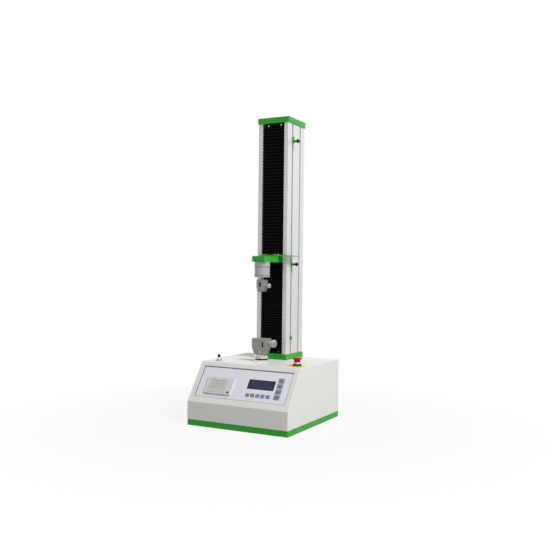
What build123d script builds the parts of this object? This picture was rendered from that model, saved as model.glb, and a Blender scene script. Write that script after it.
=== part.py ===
# Single-column strength tester: a base housing with a sloped control panel, an upright column with a
# ball screw behind pleated covers, and a crosshead that carries a load cell and film grips.
# Millimetres. X to the right, Y to the back, Z up; the origin is under the middle of the base.
import os
from math import atan2, cos, hypot, radians, sin, sqrt

from build123d import *

os.makedirs("parts", exist_ok=True)

# Clearances used throughout
running_gap = 0.05        # radial, a shaft in its bore
slide_gap = 0.3           # between a moving piece and what it passes
seat_gap = 0.1            # round a piece that drops into a cut-out

# Base housing
base_width = 380.0
base_depth = 400.0
base_plate_height = 20.0
base_corner_radius = 4.0
casing_wall = 2.0
casing_bend_radius = 3.0
casing_front_height = 80.0
casing_top_height = 206.0
casing_slope_run = 88.0
back_panel_thickness = 2.0
casing_back_inset = 4.0

# Control panel in the slope
panel_side_margin = 18.0
panel_low_margin = 21.5
panel_high_margin = 16.7
panel_corner_radius = 2.0
panel_recess = 4.0
panel_lip = 2.0
panel_plate_thickness = 2.0
panel_plate_margin = 8.0
overlay_thickness = 0.8

# Display, keys and printer. The insets are from the panel's left or right edge, the rises from its middle line.
lcd_width = 99.0
lcd_length = 35.0
lcd_inset = 106.5
lcd_rise = 5.25
row_key_width = 14.5
row_key_length = 12.5
row_key_pitch = 18.9
row_key_inset = 146.0
row_key_rise = -34.25
row_key_count = 5
side_key_width = 21.0
side_key_length = 17.0
side_key_pitch = 19.8
side_key_inset = 38.0
side_key_rise = 25.75
side_key_count = 4
key_corner_radius = 1.5
key_proud = 0.9
key_travel = 0.6
board_depth = 14.0        # face of the circuit board under the slope
board_thickness = 1.6
board_width = 160.0
board_length = 96.0
board_shift = (9.5, -7.25)    # of the board's middle from the display's and from the panel's
board_spacer_inset = 5.0
board_spacer_radius = 3.0
key_switch_size = 6.0
printer_width = 104.0
printer_length = 61.0
printer_inset = 84.0
printer_rise = -12.75
printer_proud = 2.0
printer_bezel_radius = 3.0
printer_body_width = 96.0
printer_body_length = 53.0
printer_body_depth = 52.0
printer_wall = 2.0
printer_door_width = 72.0
printer_door_length = 47.0
printer_door_thickness = 3.0
printer_hinge_pin_radius = 0.8
printer_hinge_pin_length = 4.0
paper_roll_radius = 19.0
paper_roll_width = 57.0
paper_core_radius = 6.0
feed_button_width = 9.0
feed_button_length = 6.0
feed_button_travel = 1.0

# Emergency stop and sensor socket on the top
estop_inset = 40.0            # from the right side of the housing
estop_setback = 53.0          # behind the edge where the slope meets the top
estop_legend_radius = 30.0
estop_legend_thickness = 0.8
estop_collar_radius = 14.5
estop_collar_height = 6.5
estop_barrel_radius = 11.0
estop_barrel_depth = 38.0
estop_nut_radius = 15.0
estop_ring_radius = 11.0
estop_ring_height = 5.0
estop_travel = 5.0
estop_head_radius = 17.5
estop_neck_radius = 10.5
estop_head_height = 17.0
gland_inset = 50.0            # from the left side of the housing
gland_setback = 28.0
gland_radius = 10.5
gland_height = 13.0
gland_hex_height = 5.0
gland_plug_radius = 5.0
gland_plug_height = 10.0
gland_shank_radius = 6.0
gland_shank_length = 12.0

# Column
column_x = -15.0          # the column and the load line stand left of the middle
column_back_gap = 5.0         # from its back to the back of the housing
column_width = 120.0
column_depth = 129.0
column_height = 820.0
column_corner_radius = 2.0
column_side_wall = 16.0
column_back_wall = 8.0
foot_thickness = 20.0
foot_overhang = 2.0
cap_thickness = 20.0
cap_overhang = 3.0
slot_mouth = 8.0
slot_lip = 3.0
slot_inner_width = 14.0
slot_depth = 11.0
slot_front_offset = 33.5
slot_rear_offset = 93.5
chamber_width = 7.0
chamber_wall = 5.0

# Drive inside the column
screw_setback = 68.0          # behind the column's front
screw_radius = 8.0
screw_journal_radius = 6.0
bearing_block_height = 30.0
bearing_block_width = 86.0
bearing_block_depth = 88.0
rail_width = 15.0
rail_height = 12.0
rail_spacing = 56.0
rail_end_gap = 6.0
rail_block_width = 32.0
rail_block_height = 20.0
rail_block_length = 56.0
nut_flange_radius = 24.0
nut_flange_thickness = 10.0
nut_body_radius = 14.0
nut_body_length = 36.0
motor_size = 60.0
motor_length = 104.0
motor_shaft_radius = 5.0
coupling_radius = 15.0
coupling_length = 40.0
pedestal_top_thickness = 10.0
pedestal_leg_thickness = 10.0
pedestal_width = 160.0
pedestal_front_reach = 40.0   # in front of the load line
pedestal_back_gap = 8.0
pedestal_foot_width = 20.0
pedestal_foot_thickness = 6.0
motor_shelf_height = 142.0
motor_shelf_thickness = 8.0
supply_length = 190.0
supply_height = 80.0
supply_side_gap = 6.0
supply_foot_gap = 13.0
supply_back_gap = 74.0
supply_slot_count = 9

# Pleated covers
cover_width = 87.0
cover_recess = 1.0
fold_depth = 12.0
cover_sheet = 1.2
upper_fold_count = 40
lower_fold_count = 36
cover_flange_height = 13.0
cover_flange_thickness = 3.0
cover_screw_spread = 50.0

# Crosshead
arm_underside = 551.0
arm_thickness = 20.0
arm_width = 49.0
arm_reach = 101.0
arm_corner_radius = 2.0
arm_root_width = 69.0
arm_root_depth = 24.0
arm_root_height = 26.5
arm_flare = 10.0
arm_flange_width = 84.0
arm_flange_thickness = 6.0
arm_flange_height = 21.5
root_screw_inset = 3.3
load_line_reach = 70.0
finger_thickness = 2.5
finger_reach = 27.0       # how far it stands out past the right side of the column
finger_front_width = 16.0
finger_wrap = 40.0
finger_gap = 2.5

# Load cell
cell_radius = 27.3
cell_height = 53.0
cell_top_band = 16.5
cell_bottom_band = 13.0
cell_waist = 0.8
cell_groove = 1.4
cell_stud_radius = 5.5
cell_stud_gap = 8.5

# Upper grip
upper_grip_width = 27.0
upper_grip_depth = 32.0
upper_grip_height = 41.5
upper_grip_taper_height = 18.0
upper_grip_foot_width = 18.0
upper_grip_bridge = 9.5
upper_jaw_gap = 7.5
upper_jaw_thickness = 4.0
upper_land_gap = 2.0          # between the gripping lands under the relief
upper_land_height = 18.0
upper_screw_radius = 5.0
upper_screw_height = 21.0     # of the screw's line under the top of the grip
upper_screw_showing = 11.0
upper_knob_radius = 8.5
upper_knob_length = 7.0

# Lower grip and its post
post_flange_radius = 24.5
post_flange_height = 5.5
post_groove_radius = 21.0
post_groove_height = 4.5
post_collar_radius = 25.0
post_collar_height = 11.5
post_spigot_radius = 10.0
post_spigot_height = 24.0
post_shank_radius = 8.0
lower_grip_width = 59.0
lower_grip_depth = 32.0
lower_grip_height = 58.5
lower_grip_taper_height = 34.0
lower_grip_foot_width = 34.0
lower_jaw_thickness = 9.1
lower_jaw_opening = 6.6
lower_jaw_height = 30.0
lower_lip_height = 10.5       # of the jaw's lip, which closes the gap at the top
lower_screw_radius = 4.0
lower_shoulder_radius = 8.0
lower_screw_height = 42.0     # of the screw's line over the bottom of the grip
lower_screw_showing = 12.0
lower_knob_radius = 13.5
lower_knob_length = 13.0
knob_flutes = 12
grip_recess_width = 23.0
grip_recess_height = 13.0
grip_recess_offset = 3.0
grip_recess_depth = 2.5
grip_pin_level = 11.0
grip_pin_radius = 3.0
grip_pin_head_radius = 5.5

# Limit rod with its stops
limit_rod_radius = 2.5
limit_rod_travel = 3.0
limit_rod_end = 9.0
stop_width = 10.0
stop_reach = 5.5
stop_foot_width = 12.0        # of the part that runs inside the slot
upper_stop_underside = 975.0
upper_stop_height = 23.0
middle_stop_underside = 538.0
middle_stop_height = 13.0
middle_strip_height = 48.0
lower_stop_underside = 277.0
lower_stop_height = 11.0
stop_knob_rise = 7.0          # of the knob over the stop's underside
stop_knob_radius = 6.75
stop_stem_radius = 2.0
stop_stem_showing = 8.5

# Screws
small_screw_head_radius = 2.8
small_screw_head_height = 2.2
cap_screw_inset = 8.0

# Worked out from the sizes above
slope_rise = casing_top_height - casing_front_height
casing_back = base_depth / 2 - casing_back_inset
brow_y = -base_depth / 2 + casing_slope_run
slope_length = hypot(casing_slope_run, slope_rise)
panel_width = base_width - 2 * panel_side_margin
panel_length = slope_length - panel_low_margin - panel_high_margin
panel_middle_v = panel_low_margin + panel_length / 2
lcd_u = panel_width / 2 - lcd_inset
lcd_v = panel_middle_v + lcd_rise
row_key_first_u = panel_width / 2 - row_key_inset
row_key_v = panel_middle_v + row_key_rise
side_key_u = panel_width / 2 - side_key_inset
side_key_first_v = panel_middle_v + side_key_rise
printer_u = -panel_width / 2 + printer_inset
printer_v = panel_middle_v + printer_rise
estop_x = base_width / 2 - estop_inset
estop_y = brow_y + estop_setback
gland_x = -base_width / 2 + gland_inset
gland_y = brow_y + gland_setback
foot_top = casing_top_height + foot_thickness
column_top = foot_top + column_height
column_left = column_x - column_width / 2
column_right = column_x + column_width / 2
column_back = casing_back - column_back_gap
column_front = column_back - column_depth
screw_y = column_front + screw_setback
opening_width = column_width - 2 * column_side_wall
cover_peak = column_front + cover_recess
cover_valley = cover_peak + fold_depth
cover_back = cover_valley + cover_flange_thickness
load_y = column_front - load_line_reach
pedestal_front = load_y - pedestal_front_reach
pedestal_back = casing_back - back_panel_thickness - pedestal_back_gap
arm_top = arm_underside + arm_thickness
root_top = arm_underside + arm_root_height
cell_bottom = arm_underside - cell_height
upper_grip_top = cell_bottom - cell_stud_gap
upper_grip_bottom = upper_grip_top - upper_grip_height
post_top = casing_top_height + post_flange_height + post_groove_height + post_collar_height
lower_grip_bottom = post_top
lower_grip_top = lower_grip_bottom + lower_grip_height
rod_x = column_right - slot_lip - (slot_depth - slot_lip) / 2
rod_y = column_front + slot_front_offset
rail_face = column_back - column_back_wall
slope_plane = Plane(
    origin=(0, -base_depth / 2, casing_front_height), x_dir=(1, 0, 0), z_dir=(0, -slope_rise, casing_slope_run)
)
slope_axis = Axis((0, 0, 0), slope_plane.z_dir)


def block(x_range, y_range, z_range):
    """A box between its lowest and highest X, Y and Z."""
    (x0, x1), (y0, y1), (z0, z1) = x_range, y_range, z_range
    return Pos((x0 + x1) / 2, (y0 + y1) / 2, (z0 + z1) / 2) * Box(x1 - x0, y1 - y0, z1 - z0)


def rod_z(radius, x, y, z0, z1):
    """An upright round bar."""
    return Pos(x, y, (z0 + z1) / 2) * Cylinder(radius, z1 - z0)


def rod_x_axis(radius, x0, x1, y, z):
    """A round bar along X."""
    return Pos((x0 + x1) / 2, y, z) * Rot(0, 90, 0) * Cylinder(radius, x1 - x0)


def rod_y_axis(radius, x, y0, y1, z):
    """A round bar along Y."""
    return Pos(x, (y0 + y1) / 2, z) * Rot(90, 0, 0) * Cylinder(radius, y1 - y0)


def turned(points, x, y):
    """A turned piece from its half outline, as (radius, height) points, on an upright axis."""
    outline = make_face(Plane.XZ * Polyline(*points, close=True))
    return Pos(x, y, 0) * revolve(outline, Axis.Z)


def on_slope(u, v, depth=0.0):
    """The place on the sloped front that is u to the right, v up the slope and depth under it."""
    return slope_plane.location * Pos(u, v, -depth)


def slope_block(u, v, width, length, top_depth, bottom_depth, radius=0.0):
    """A plate or block square to the slope, between two depths under it."""
    shape = RectangleRounded(width, length, radius) if radius else Rectangle(width, length)
    return on_slope(u, v, bottom_depth) * extrude(shape, bottom_depth - top_depth)


def mirrored_outline(half_points):
    """The closed face between an outline on the right of X = 0 and its mirror image."""
    left = [(-x, y) for x, y in reversed(half_points) if x]
    return make_face(Polyline(*half_points, *left, close=True))


def save(shape, name):
    """Write one sub-part under its own name."""
    solids = shape.solids()
    whole = solids[0] if len(solids) == 1 else Compound(children=solids)
    whole.label = name
    export_step(whole, f"parts/{name}.step")


# Base housing


def base_plate():
    plate = extrude(RectangleRounded(base_width, base_depth, base_corner_radius), base_plate_height)
    return chamfer(plate.faces().sort_by(Axis.Z)[-1].edges(), 0.8)


def casing_outline(inset):
    """The side view of the housing, moved in by the wall where inset is given."""
    front = -base_depth / 2 + inset
    back = casing_back - back_panel_thickness
    tilt = atan2(slope_rise, casing_slope_run)
    crease = casing_front_height - inset * (1 - cos(tilt)) / sin(tilt)
    brow = -base_depth / 2 + casing_slope_run + inset * (1 - cos(tilt)) / sin(tilt)
    top = casing_top_height - inset
    return Polyline(
        (front, base_plate_height), (front, crease), (brow, top), (back, top), (back, base_plate_height), close=True
    )


def casing_extrusion(inset):
    face = make_face(Plane.YZ * casing_outline(inset))
    return Pos(-base_width / 2 + inset, 0, 0) * extrude(face, base_width - 2 * inset, dir=(1, 0, 0))


def casing():
    outer = casing_extrusion(0)
    bends = outer.edges().filter_by(Axis.X).filter_by(lambda e: e.center().Z > base_plate_height + 1)
    bends = bends.filter_by(lambda e: e.center().Y < casing_back - 10)
    outer = fillet(bends, casing_bend_radius)
    side_edges = outer.edges().filter_by(lambda e: abs(abs(e.center().X) - base_width / 2) < 0.01)
    side_edges = side_edges.filter_by(lambda e: e.center().Z > base_plate_height + 1)
    side_edges = side_edges.filter_by(lambda e: e.center().Y < casing_back - 10)
    outer = fillet(side_edges, casing_wall * 0.7)
    shell = outer - casing_extrusion(casing_wall)
    lip_width = panel_width + 2 * panel_lip
    lip_length = panel_length + 2 * panel_lip
    shell += slope_block(0, panel_middle_v, lip_width, lip_length, 0.5, panel_recess, panel_corner_radius + panel_lip)
    shell -= slope_block(0, panel_middle_v, panel_width, panel_length, -5, panel_recess + 5, panel_corner_radius)
    holes = rod_z(estop_barrel_radius + seat_gap, estop_x, estop_y, casing_top_height - 5, casing_top_height + 5)
    holes += rod_z(gland_shank_radius + seat_gap, gland_x, gland_y, casing_top_height - 5, casing_top_height + 5)
    holes += rod_z(post_shank_radius + seat_gap, column_x, load_y, casing_top_height - 5, casing_top_height + 5)
    holes += rod_z(coupling_radius + slide_gap, column_x, screw_y, casing_top_height - 5, casing_top_height + 5)
    return shell - holes


vent_rows = 2
vent_count = 12
vent_width = 4.0
vent_length = 34.0
vent_pitch = 12.0
vent_inset = 100.0
vent_level = 140.0
inlet_inset = 80.0
inlet_level = 70.0
inlet_width = 30.0
inlet_height = 48.0
inlet_depth = 24.0
inlet_mouth_width = 24.0
inlet_mouth_height = 16.0
inlet_mouth_depth = 16.0
inlet_mouth_drop = 11.0
inlet_pin_depth = 6.0
socket_flange = 3.0
socket_face = 1.5
serial_gap = 49.0
serial_width = 32.0
serial_height = 13.0
serial_depth = 16.0
serial_shell = 4.0
serial_shell_inset = 6.0
serial_shell_wall = 1.0
vent_middle = (-base_width / 2 + vent_inset, vent_level)
inlet_middle = (base_width / 2 - inlet_inset, inlet_level)
serial_middle = (inlet_middle[0] - inlet_width / 2 - serial_gap - serial_width / 2, inlet_level)


def back_panel():
    sheet = block(
        (-base_width / 2, base_width / 2),
        (casing_back - back_panel_thickness, casing_back),
        (base_plate_height, casing_top_height),
    )
    upright = sheet.edges().filter_by(Axis.Y).sort_by(Axis.Z)[-2:]
    sheet = fillet(upright, casing_wall * 0.7)
    back_face = Plane(origin=(0, casing_back + 1, 0), x_dir=(1, 0, 0), z_dir=(0, -1, 0))
    cuts = Sketch()
    for row in range(vent_rows):
        for place in range(vent_count):
            u = vent_middle[0] + (place - (vent_count - 1) / 2) * vent_pitch
            v = vent_middle[1] + (row - (vent_rows - 1) / 2) * (vent_length + 8)
            cuts += Pos(u, v) * SlotOverall(vent_length, vent_width, rotation=90)
    cuts += Pos(*inlet_middle) * Rectangle(inlet_width + seat_gap, inlet_height + seat_gap)
    cuts += Pos(*serial_middle) * Rectangle(serial_width + seat_gap, serial_height + seat_gap)
    return sheet - back_face * extrude(cuts, back_panel_thickness + 2)


def rear_sockets():
    """The mains inlet with its switch and fuse bay, and the serial socket beside it."""
    outside = casing_back + socket_face
    x, z = inlet_middle
    half_width, half_height = inlet_width / 2, inlet_height / 2
    inlet = block((x - half_width, x + half_width), (casing_back - inlet_depth, outside),
                  (z - half_height, z + half_height))
    half_width, half_height = half_width + socket_flange, half_height + socket_flange
    inlet += block((x - half_width, x + half_width), (casing_back, outside), (z - half_height, z + half_height))
    mouth_z = z - inlet_mouth_drop
    half_width, half_height = inlet_mouth_width / 2, inlet_mouth_height / 2
    mouth_floor = outside - inlet_mouth_depth
    inlet -= block((x - half_width, x + half_width), (mouth_floor, outside + 1),
                   (mouth_z - half_height, mouth_z + half_height))
    for pin_x, pin_z in ((-7, -1), (0, 2), (7, -1)):
        inlet += block((x + pin_x - 1, x + pin_x + 1), (mouth_floor, outside - inlet_pin_depth),
                       (mouth_z + pin_z - 2, mouth_z + pin_z + 2))
    half_width = rocker_width / 2 + slide_gap
    half_height = rocker_length / 2 + slide_gap
    rocker_z = z + rocker_level
    inlet -= block((x - half_width, x + half_width), (outside - 12, outside + 1),
                   (rocker_z - half_height, rocker_z + half_height))
    inlet += rod_x_axis(rocker_pin_radius, x - half_width - 1, x + half_width + 1, outside - rocker_pin_depth, rocker_z)
    x, z = serial_middle
    half_width, half_height = serial_width / 2, serial_height / 2
    serial = block((x - half_width, x + half_width), (casing_back - serial_depth, casing_back),
                   (z - half_height, z + half_height))
    half_width, half_height = half_width - serial_shell_inset, half_height - 2
    end = casing_back + serial_shell
    serial += block((x - half_width, x + half_width), (casing_back - 1, end), (z - half_height, z + half_height))
    half_width, half_height = half_width - serial_shell_wall, half_height - serial_shell_wall
    serial -= block((x - half_width, x + half_width), (casing_back, end + 1), (z - half_height, z + half_height))
    return inlet + serial


rocker_width = 14.0
rocker_length = 20.0
rocker_level = 13.0
rocker_pin_radius = 1.5
rocker_pin_depth = 4.0
rocker_angle = 8.0


def power_rocker():
    """The switch key: a shallow V seen from the side, on its pin."""
    x, z = inlet_middle
    outside = casing_back + socket_face
    half = rocker_length / 2 - 0.7
    hollow = outside - rocker_pin_depth
    outline = Polyline(
        (hollow - 3, -half + 2), (outside + 1.2, -half), (outside - 0.2, 0), (outside + 1.2, half), (hollow - 3, half - 2),
        close=True,
    )
    face = make_face(Plane.YZ * outline)
    key = Pos(x - rocker_width / 2, 0, z + rocker_level) * extrude(face, rocker_width, dir=(1, 0, 0))
    bore = rod_x_axis(rocker_pin_radius + running_gap, x - rocker_width, x + rocker_width, hollow, z + rocker_level)
    pin_line = Axis((x, hollow, z + rocker_level), (1, 0, 0))
    return (key - bore).rotate(pin_line, rocker_angle)


# Control panel


def row_key_places():
    return [(row_key_first_u + n * row_key_pitch, row_key_v) for n in range(row_key_count)]


def side_key_places():
    return [(side_key_u, side_key_first_v - n * side_key_pitch) for n in range(side_key_count)]


overlay_depth = panel_recess - overlay_thickness
plate_back_depth = panel_recess + panel_plate_thickness


def panel_cuts(top_depth, bottom_depth, gap):
    """What passes through the panel: printer, display and keys, each with a gap round it."""
    cuts = slope_block(printer_u, printer_v, printer_body_width + 2 * gap, printer_body_length + 2 * gap, top_depth,
                       bottom_depth)
    cuts += slope_block(lcd_u, lcd_v, lcd_width, lcd_length, top_depth, bottom_depth)
    for u, v in row_key_places():
        cuts += slope_block(u, v, row_key_width + 2 * gap, row_key_length + 2 * gap, top_depth, bottom_depth,
                            key_corner_radius + gap)
    for u, v in side_key_places():
        cuts += slope_block(u, v, side_key_width + 2 * gap, side_key_length + 2 * gap, top_depth, bottom_depth,
                            key_corner_radius + gap)
    return cuts


def control_panel():
    plate = slope_block(0, panel_middle_v, panel_width + 2 * panel_plate_margin, panel_length + 2 * panel_plate_margin,
                        panel_recess, plate_back_depth, 3)
    return plate - panel_cuts(panel_recess - 1, plate_back_depth + 1, slide_gap)


def panel_overlay():
    sheet = slope_block(0, panel_middle_v, panel_width - 2 * seat_gap, panel_length - 2 * seat_gap, overlay_depth,
                        panel_recess, panel_corner_radius)
    return sheet - panel_cuts(overlay_depth - 1, panel_recess + 1, slide_gap)


def lcd_window():
    pane = slope_block(lcd_u, lcd_v, lcd_width - 2 * seat_gap, lcd_length - 2 * seat_gap, overlay_depth - 0.2,
                       plate_back_depth)
    return chamfer(pane.faces().sort_by(slope_axis)[-1].edges(), 0.3)


def display_board():
    """The circuit board under the panel, with the display module, the key switches and four spacers."""
    u, v = lcd_u + board_shift[0], panel_middle_v + board_shift[1]
    board = slope_block(u, v, board_width, board_length, board_depth, board_depth + board_thickness)
    board += slope_block(lcd_u, lcd_v, lcd_width - 4, lcd_length - 4, plate_back_depth + 0.5, board_depth)
    switch_top = overlay_depth + key_cap_height + key_travel
    for key_u, key_v in row_key_places() + side_key_places():
        board += slope_block(key_u, key_v, key_switch_size, key_switch_size, switch_top, board_depth)
    half_u = board_width / 2 - board_spacer_inset
    half_v = board_length / 2 - board_spacer_inset
    for side_u in (1, -1):
        for side_v in (1, -1):
            place = on_slope(u + side_u * half_u, v + side_v * half_v, board_depth)
            board += place * Cylinder(board_spacer_radius, board_depth - plate_back_depth, align=low)
    return board


low = (Align.CENTER, Align.CENTER, Align.MIN)
key_cap_height = 5.0


def key(u, v, width, length):
    """A push key: a rounded cap that stands a little proud of the overlay."""
    cap = slope_block(u, v, width, length, overlay_depth - key_proud, overlay_depth + key_cap_height, key_corner_radius)
    crown = cap.faces().sort_by(slope_axis)[-1]
    return chamfer(crown.edges(), 0.4)


# Panel printer: a bezel with a paper bay behind it, a hinged door, the paper roll and the feed button
printer_face = -printer_proud
bay_middle_depth = 28.0
door_u = printer_u - 6.0
door_v = printer_v - 1.0
door_low_v = door_v - printer_door_length / 2
door_rounding = printer_door_thickness / 2
hinge_v = door_low_v + door_rounding
hinge_depth = printer_face + door_rounding
feed_u = printer_u + 41.0
feed_v = printer_v - 22.0
feed_depth = printer_face + 8.0


def along_slope(radius, u, v, depth, length):
    """A round bar along u, under the slope."""
    return on_slope(u, v, depth) * Rot(0, 90, 0) * Cylinder(radius, length)


def printer_housing():
    bezel = slope_block(printer_u, printer_v, printer_width, printer_length, printer_face, overlay_depth,
                        printer_bezel_radius)
    bezel = chamfer(bezel.faces().sort_by(slope_axis)[-1].edges(), 1.0)
    body = slope_block(printer_u, printer_v, printer_body_width, printer_body_length, overlay_depth,
                       printer_body_depth)
    housing = bezel + body
    housing -= slope_block(door_u, door_v, printer_door_width + 2 * slide_gap, printer_door_length + 2 * slide_gap,
                           printer_face - 1, printer_face + printer_door_thickness + slide_gap)
    housing -= along_slope(paper_roll_radius + 2 * slide_gap, door_u, door_v, bay_middle_depth, paper_roll_width + 2)
    housing -= slope_block(door_u, door_v, paper_roll_width + 2, 2 * paper_roll_radius - 4, printer_face - 1,
                           bay_middle_depth)
    housing -= slope_block(feed_u, feed_v, feed_button_width + 2 * slide_gap, feed_button_length + 2 * slide_gap,
                           printer_face - 1, feed_depth)
    for side in (1, -1):
        u = door_u + side * (printer_door_width / 2 + slide_gap)
        housing += along_slope(printer_hinge_pin_radius, u, hinge_v, hinge_depth, 2 * printer_hinge_pin_length)
    return housing


def printer_door():
    """The door: its lower edge is rounded about the hinge line, with a slit for the paper near the top."""
    middle_v = (hinge_v + door_v + printer_door_length / 2) / 2
    length = door_v + printer_door_length / 2 - hinge_v
    door = slope_block(door_u, middle_v, printer_door_width, length, printer_face, printer_face + printer_door_thickness)
    door += along_slope(door_rounding, door_u, hinge_v, hinge_depth, printer_door_width)
    for n in range(5):
        door -= slope_block(door_u, door_v - 10 + n * 5, printer_door_width - 14, 1.6, printer_face - 1,
                            printer_face + 0.8)
    door -= slope_block(door_u, door_v + printer_door_length / 2 - 5, paper_roll_width + 1, 2.0, printer_face - 1,
                        printer_face + printer_door_thickness + 1)
    for side in (1, -1):
        u = door_u + side * printer_door_width / 2
        door -= along_slope(printer_hinge_pin_radius + running_gap, u, hinge_v, hinge_depth,
                            2 * printer_hinge_pin_length + 1)
    return door


def paper_roll():
    ring = Circle(paper_roll_radius) - Circle(paper_core_radius)
    return on_slope(door_u - paper_roll_width / 2, door_v, bay_middle_depth) * Rot(0, 90, 0) * extrude(
        ring, paper_roll_width)


def feed_button():
    button = slope_block(feed_u, feed_v, feed_button_width, feed_button_length, printer_face - 0.8,
                         feed_depth - feed_button_travel - slide_gap, 1.0)
    return chamfer(button.faces().sort_by(slope_axis)[-1].edges(), 0.3)


# Emergency stop


def estop_legend():
    disc = rod_z(estop_legend_radius, estop_x, estop_y, casing_top_height, casing_top_height + estop_legend_thickness)
    return disc - rod_z(estop_barrel_radius + seat_gap, estop_x, estop_y, casing_top_height - 1, casing_top_height + 2)


def dome_arc(radius, edge, apex):
    """The arc of a round crown, from the edge of the given radius up to the apex on the axis."""
    rise = apex - edge
    ball = (radius**2 + rise**2) / (2 * rise)
    half_way = (radius / 2, apex - ball + sqrt(ball**2 - (radius / 2) ** 2))
    return ThreePointArc((radius, edge), half_way, (0, apex))


estop_base = casing_top_height + estop_legend_thickness
estop_collar_top = estop_base + estop_collar_height
estop_ring_low = estop_collar_top + 0.3
estop_head_low = estop_ring_low + estop_ring_height
estop_stem_radius = 6.0
estop_spigot_radius = 5.0
estop_spigot_length = 7.0


def estop_collar():
    """The fixed part of the switch: bezel, threaded barrel, contact block and the nut under the sheet."""
    top, base = estop_collar_top, estop_base
    under = casing_top_height - casing_wall
    cup, bore = estop_ring_radius + slide_gap, estop_stem_radius + running_gap
    cup_floor = estop_ring_low - estop_travel - slide_gap
    outline = [
        (cup, top), (estop_collar_radius - 1, top), (estop_collar_radius, top - 1), (estop_collar_radius, base),
        (estop_barrel_radius, base), (estop_barrel_radius, under), (estop_nut_radius, under),
        (estop_nut_radius, under - 4), (estop_barrel_radius, under - 4),
        (estop_barrel_radius, base - estop_barrel_depth), (bore, base - estop_barrel_depth), (bore, cup_floor),
        (cup, cup_floor),
    ]
    barrel = turned(outline, estop_x, estop_y)
    floor = base - estop_barrel_depth
    return barrel + block((estop_x - 15, estop_x + 15), (estop_y - 20, estop_y + 20), (floor - 20, floor))


def estop_plunger():
    """The stem that travels, with the pale ring under the head and the spigot that the head turns on."""
    stem_low = estop_base - estop_barrel_depth + estop_travel + 1
    outline = [
        (0, estop_head_low + estop_spigot_length), (estop_spigot_radius, estop_head_low + estop_spigot_length),
        (estop_spigot_radius, estop_head_low), (estop_ring_radius, estop_head_low),
        (estop_ring_radius, estop_ring_low), (estop_stem_radius, estop_ring_low), (estop_stem_radius, stem_low),
        (0, stem_low),
    ]
    return turned(outline, estop_x, estop_y)


def estop_head():
    """The mushroom head: a narrow neck that flares to a domed cap."""
    low_z = estop_head_low + 0.3
    top = estop_head_low + estop_head_height
    rim, crown, shoulder = top - 6.4, top - 4.2, top - 8.6
    neck = estop_neck_radius
    profile = Plane.XZ * (
        Polyline((0, low_z), (neck, low_z), (neck, shoulder))
        + ThreePointArc((neck, shoulder), (neck + (estop_head_radius - neck) * 0.42, shoulder + 1.1),
                        (estop_head_radius, rim))
        + Line((estop_head_radius, rim), (estop_head_radius, crown))
        + dome_arc(estop_head_radius, crown, top)
        + Line((0, top), (0, low_z))
    )
    head = Pos(estop_x, estop_y, 0) * revolve(make_face(profile), Axis.Z)
    bore_top = estop_head_low + estop_spigot_length + slide_gap
    return head - rod_z(estop_spigot_radius + running_gap, estop_x, estop_y, low_z - 1, bore_top)


def sensor_gland():
    """The plated socket nut near the front left of the top, and the black plug that closes it."""
    base = casing_top_height
    hexagon = Pos(gland_x, gland_y, base) * extrude(RegularPolygon(gland_radius, 6), gland_hex_height)
    dome_profile = Plane.XZ * (
        Polyline((gland_plug_radius, base), (gland_radius - 1, base), (gland_radius - 1, base + gland_hex_height))
        + ThreePointArc((gland_radius - 1, base + gland_hex_height), (gland_radius - 2.6, base + gland_height - 2.6),
                        (gland_plug_radius, base + gland_height))
        + Line((gland_plug_radius, base + gland_height), (gland_plug_radius, base))
    )
    dome = Pos(gland_x, gland_y, 0) * revolve(make_face(dome_profile), Axis.Z)
    nut = hexagon + dome - rod_z(gland_plug_radius, gland_x, gland_y, base - 1, base + gland_height + 1)
    lower_nut = Pos(gland_x, gland_y, base - casing_wall - 4) * extrude(RegularPolygon(gland_radius - 1, 6), 4)
    lower_nut -= rod_z(gland_shank_radius, gland_x, gland_y, 0, base)
    plug = rod_z(gland_plug_radius, gland_x, gland_y, base, base + gland_height + gland_plug_height)
    plug = chamfer(plug.faces().sort_by(Axis.Z)[-1].edges(), 1.0)
    plug += rod_z(gland_shank_radius, gland_x, gland_y, base - gland_shank_length, base)
    return Compound(children=[*nut.solids(), *lower_nut.solids(), *plug.solids()])


# Column


def t_slot(offset, side):
    """The section of one slot, offset back from the front, on the side face at +1 or -1."""
    face_x = side * column_width / 2
    half_mouth, half_inner = slot_mouth / 2, slot_inner_width / 2
    points = [
        (1, -half_mouth), (1, half_mouth), (-slot_lip, half_mouth), (-slot_lip, half_inner),
        (-slot_depth + 2, half_inner), (-slot_depth, half_inner - 2), (-slot_depth, -half_inner + 2),
        (-slot_depth + 2, -half_inner), (-slot_lip, -half_inner), (-slot_lip, -half_mouth),
    ]
    return make_face(Polyline(*[(face_x + side * dx, offset + dy) for dx, dy in points], close=True))


def column_profile():
    """One C-shaped extrusion: two slotted side walls with hollow chambers, and the back wall."""
    section = Pos(0, column_depth / 2) * RectangleRounded(column_width, column_depth, column_corner_radius)
    bay_depth = column_depth - column_back_wall
    section -= Pos(0, (bay_depth - 1) / 2) * Rectangle(opening_width, bay_depth + 1)
    chamber_x = column_width / 2 - column_side_wall / 2
    middle = (slot_front_offset + slot_rear_offset) / 2
    middle_length = slot_rear_offset - slot_front_offset - slot_inner_width - 2 * chamber_wall
    front_length = slot_front_offset - slot_inner_width / 2 - 2 * chamber_wall
    for side in (1, -1):
        section -= t_slot(slot_front_offset, side)
        section -= t_slot(slot_rear_offset, side)
        section -= Pos(side * chamber_x, middle) * Rectangle(chamber_width, middle_length)
        section -= Pos(side * chamber_x, chamber_wall + front_length / 2) * Rectangle(chamber_width, front_length)
    return Pos(column_x, column_front, foot_top) * extrude(section, column_height)


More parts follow.
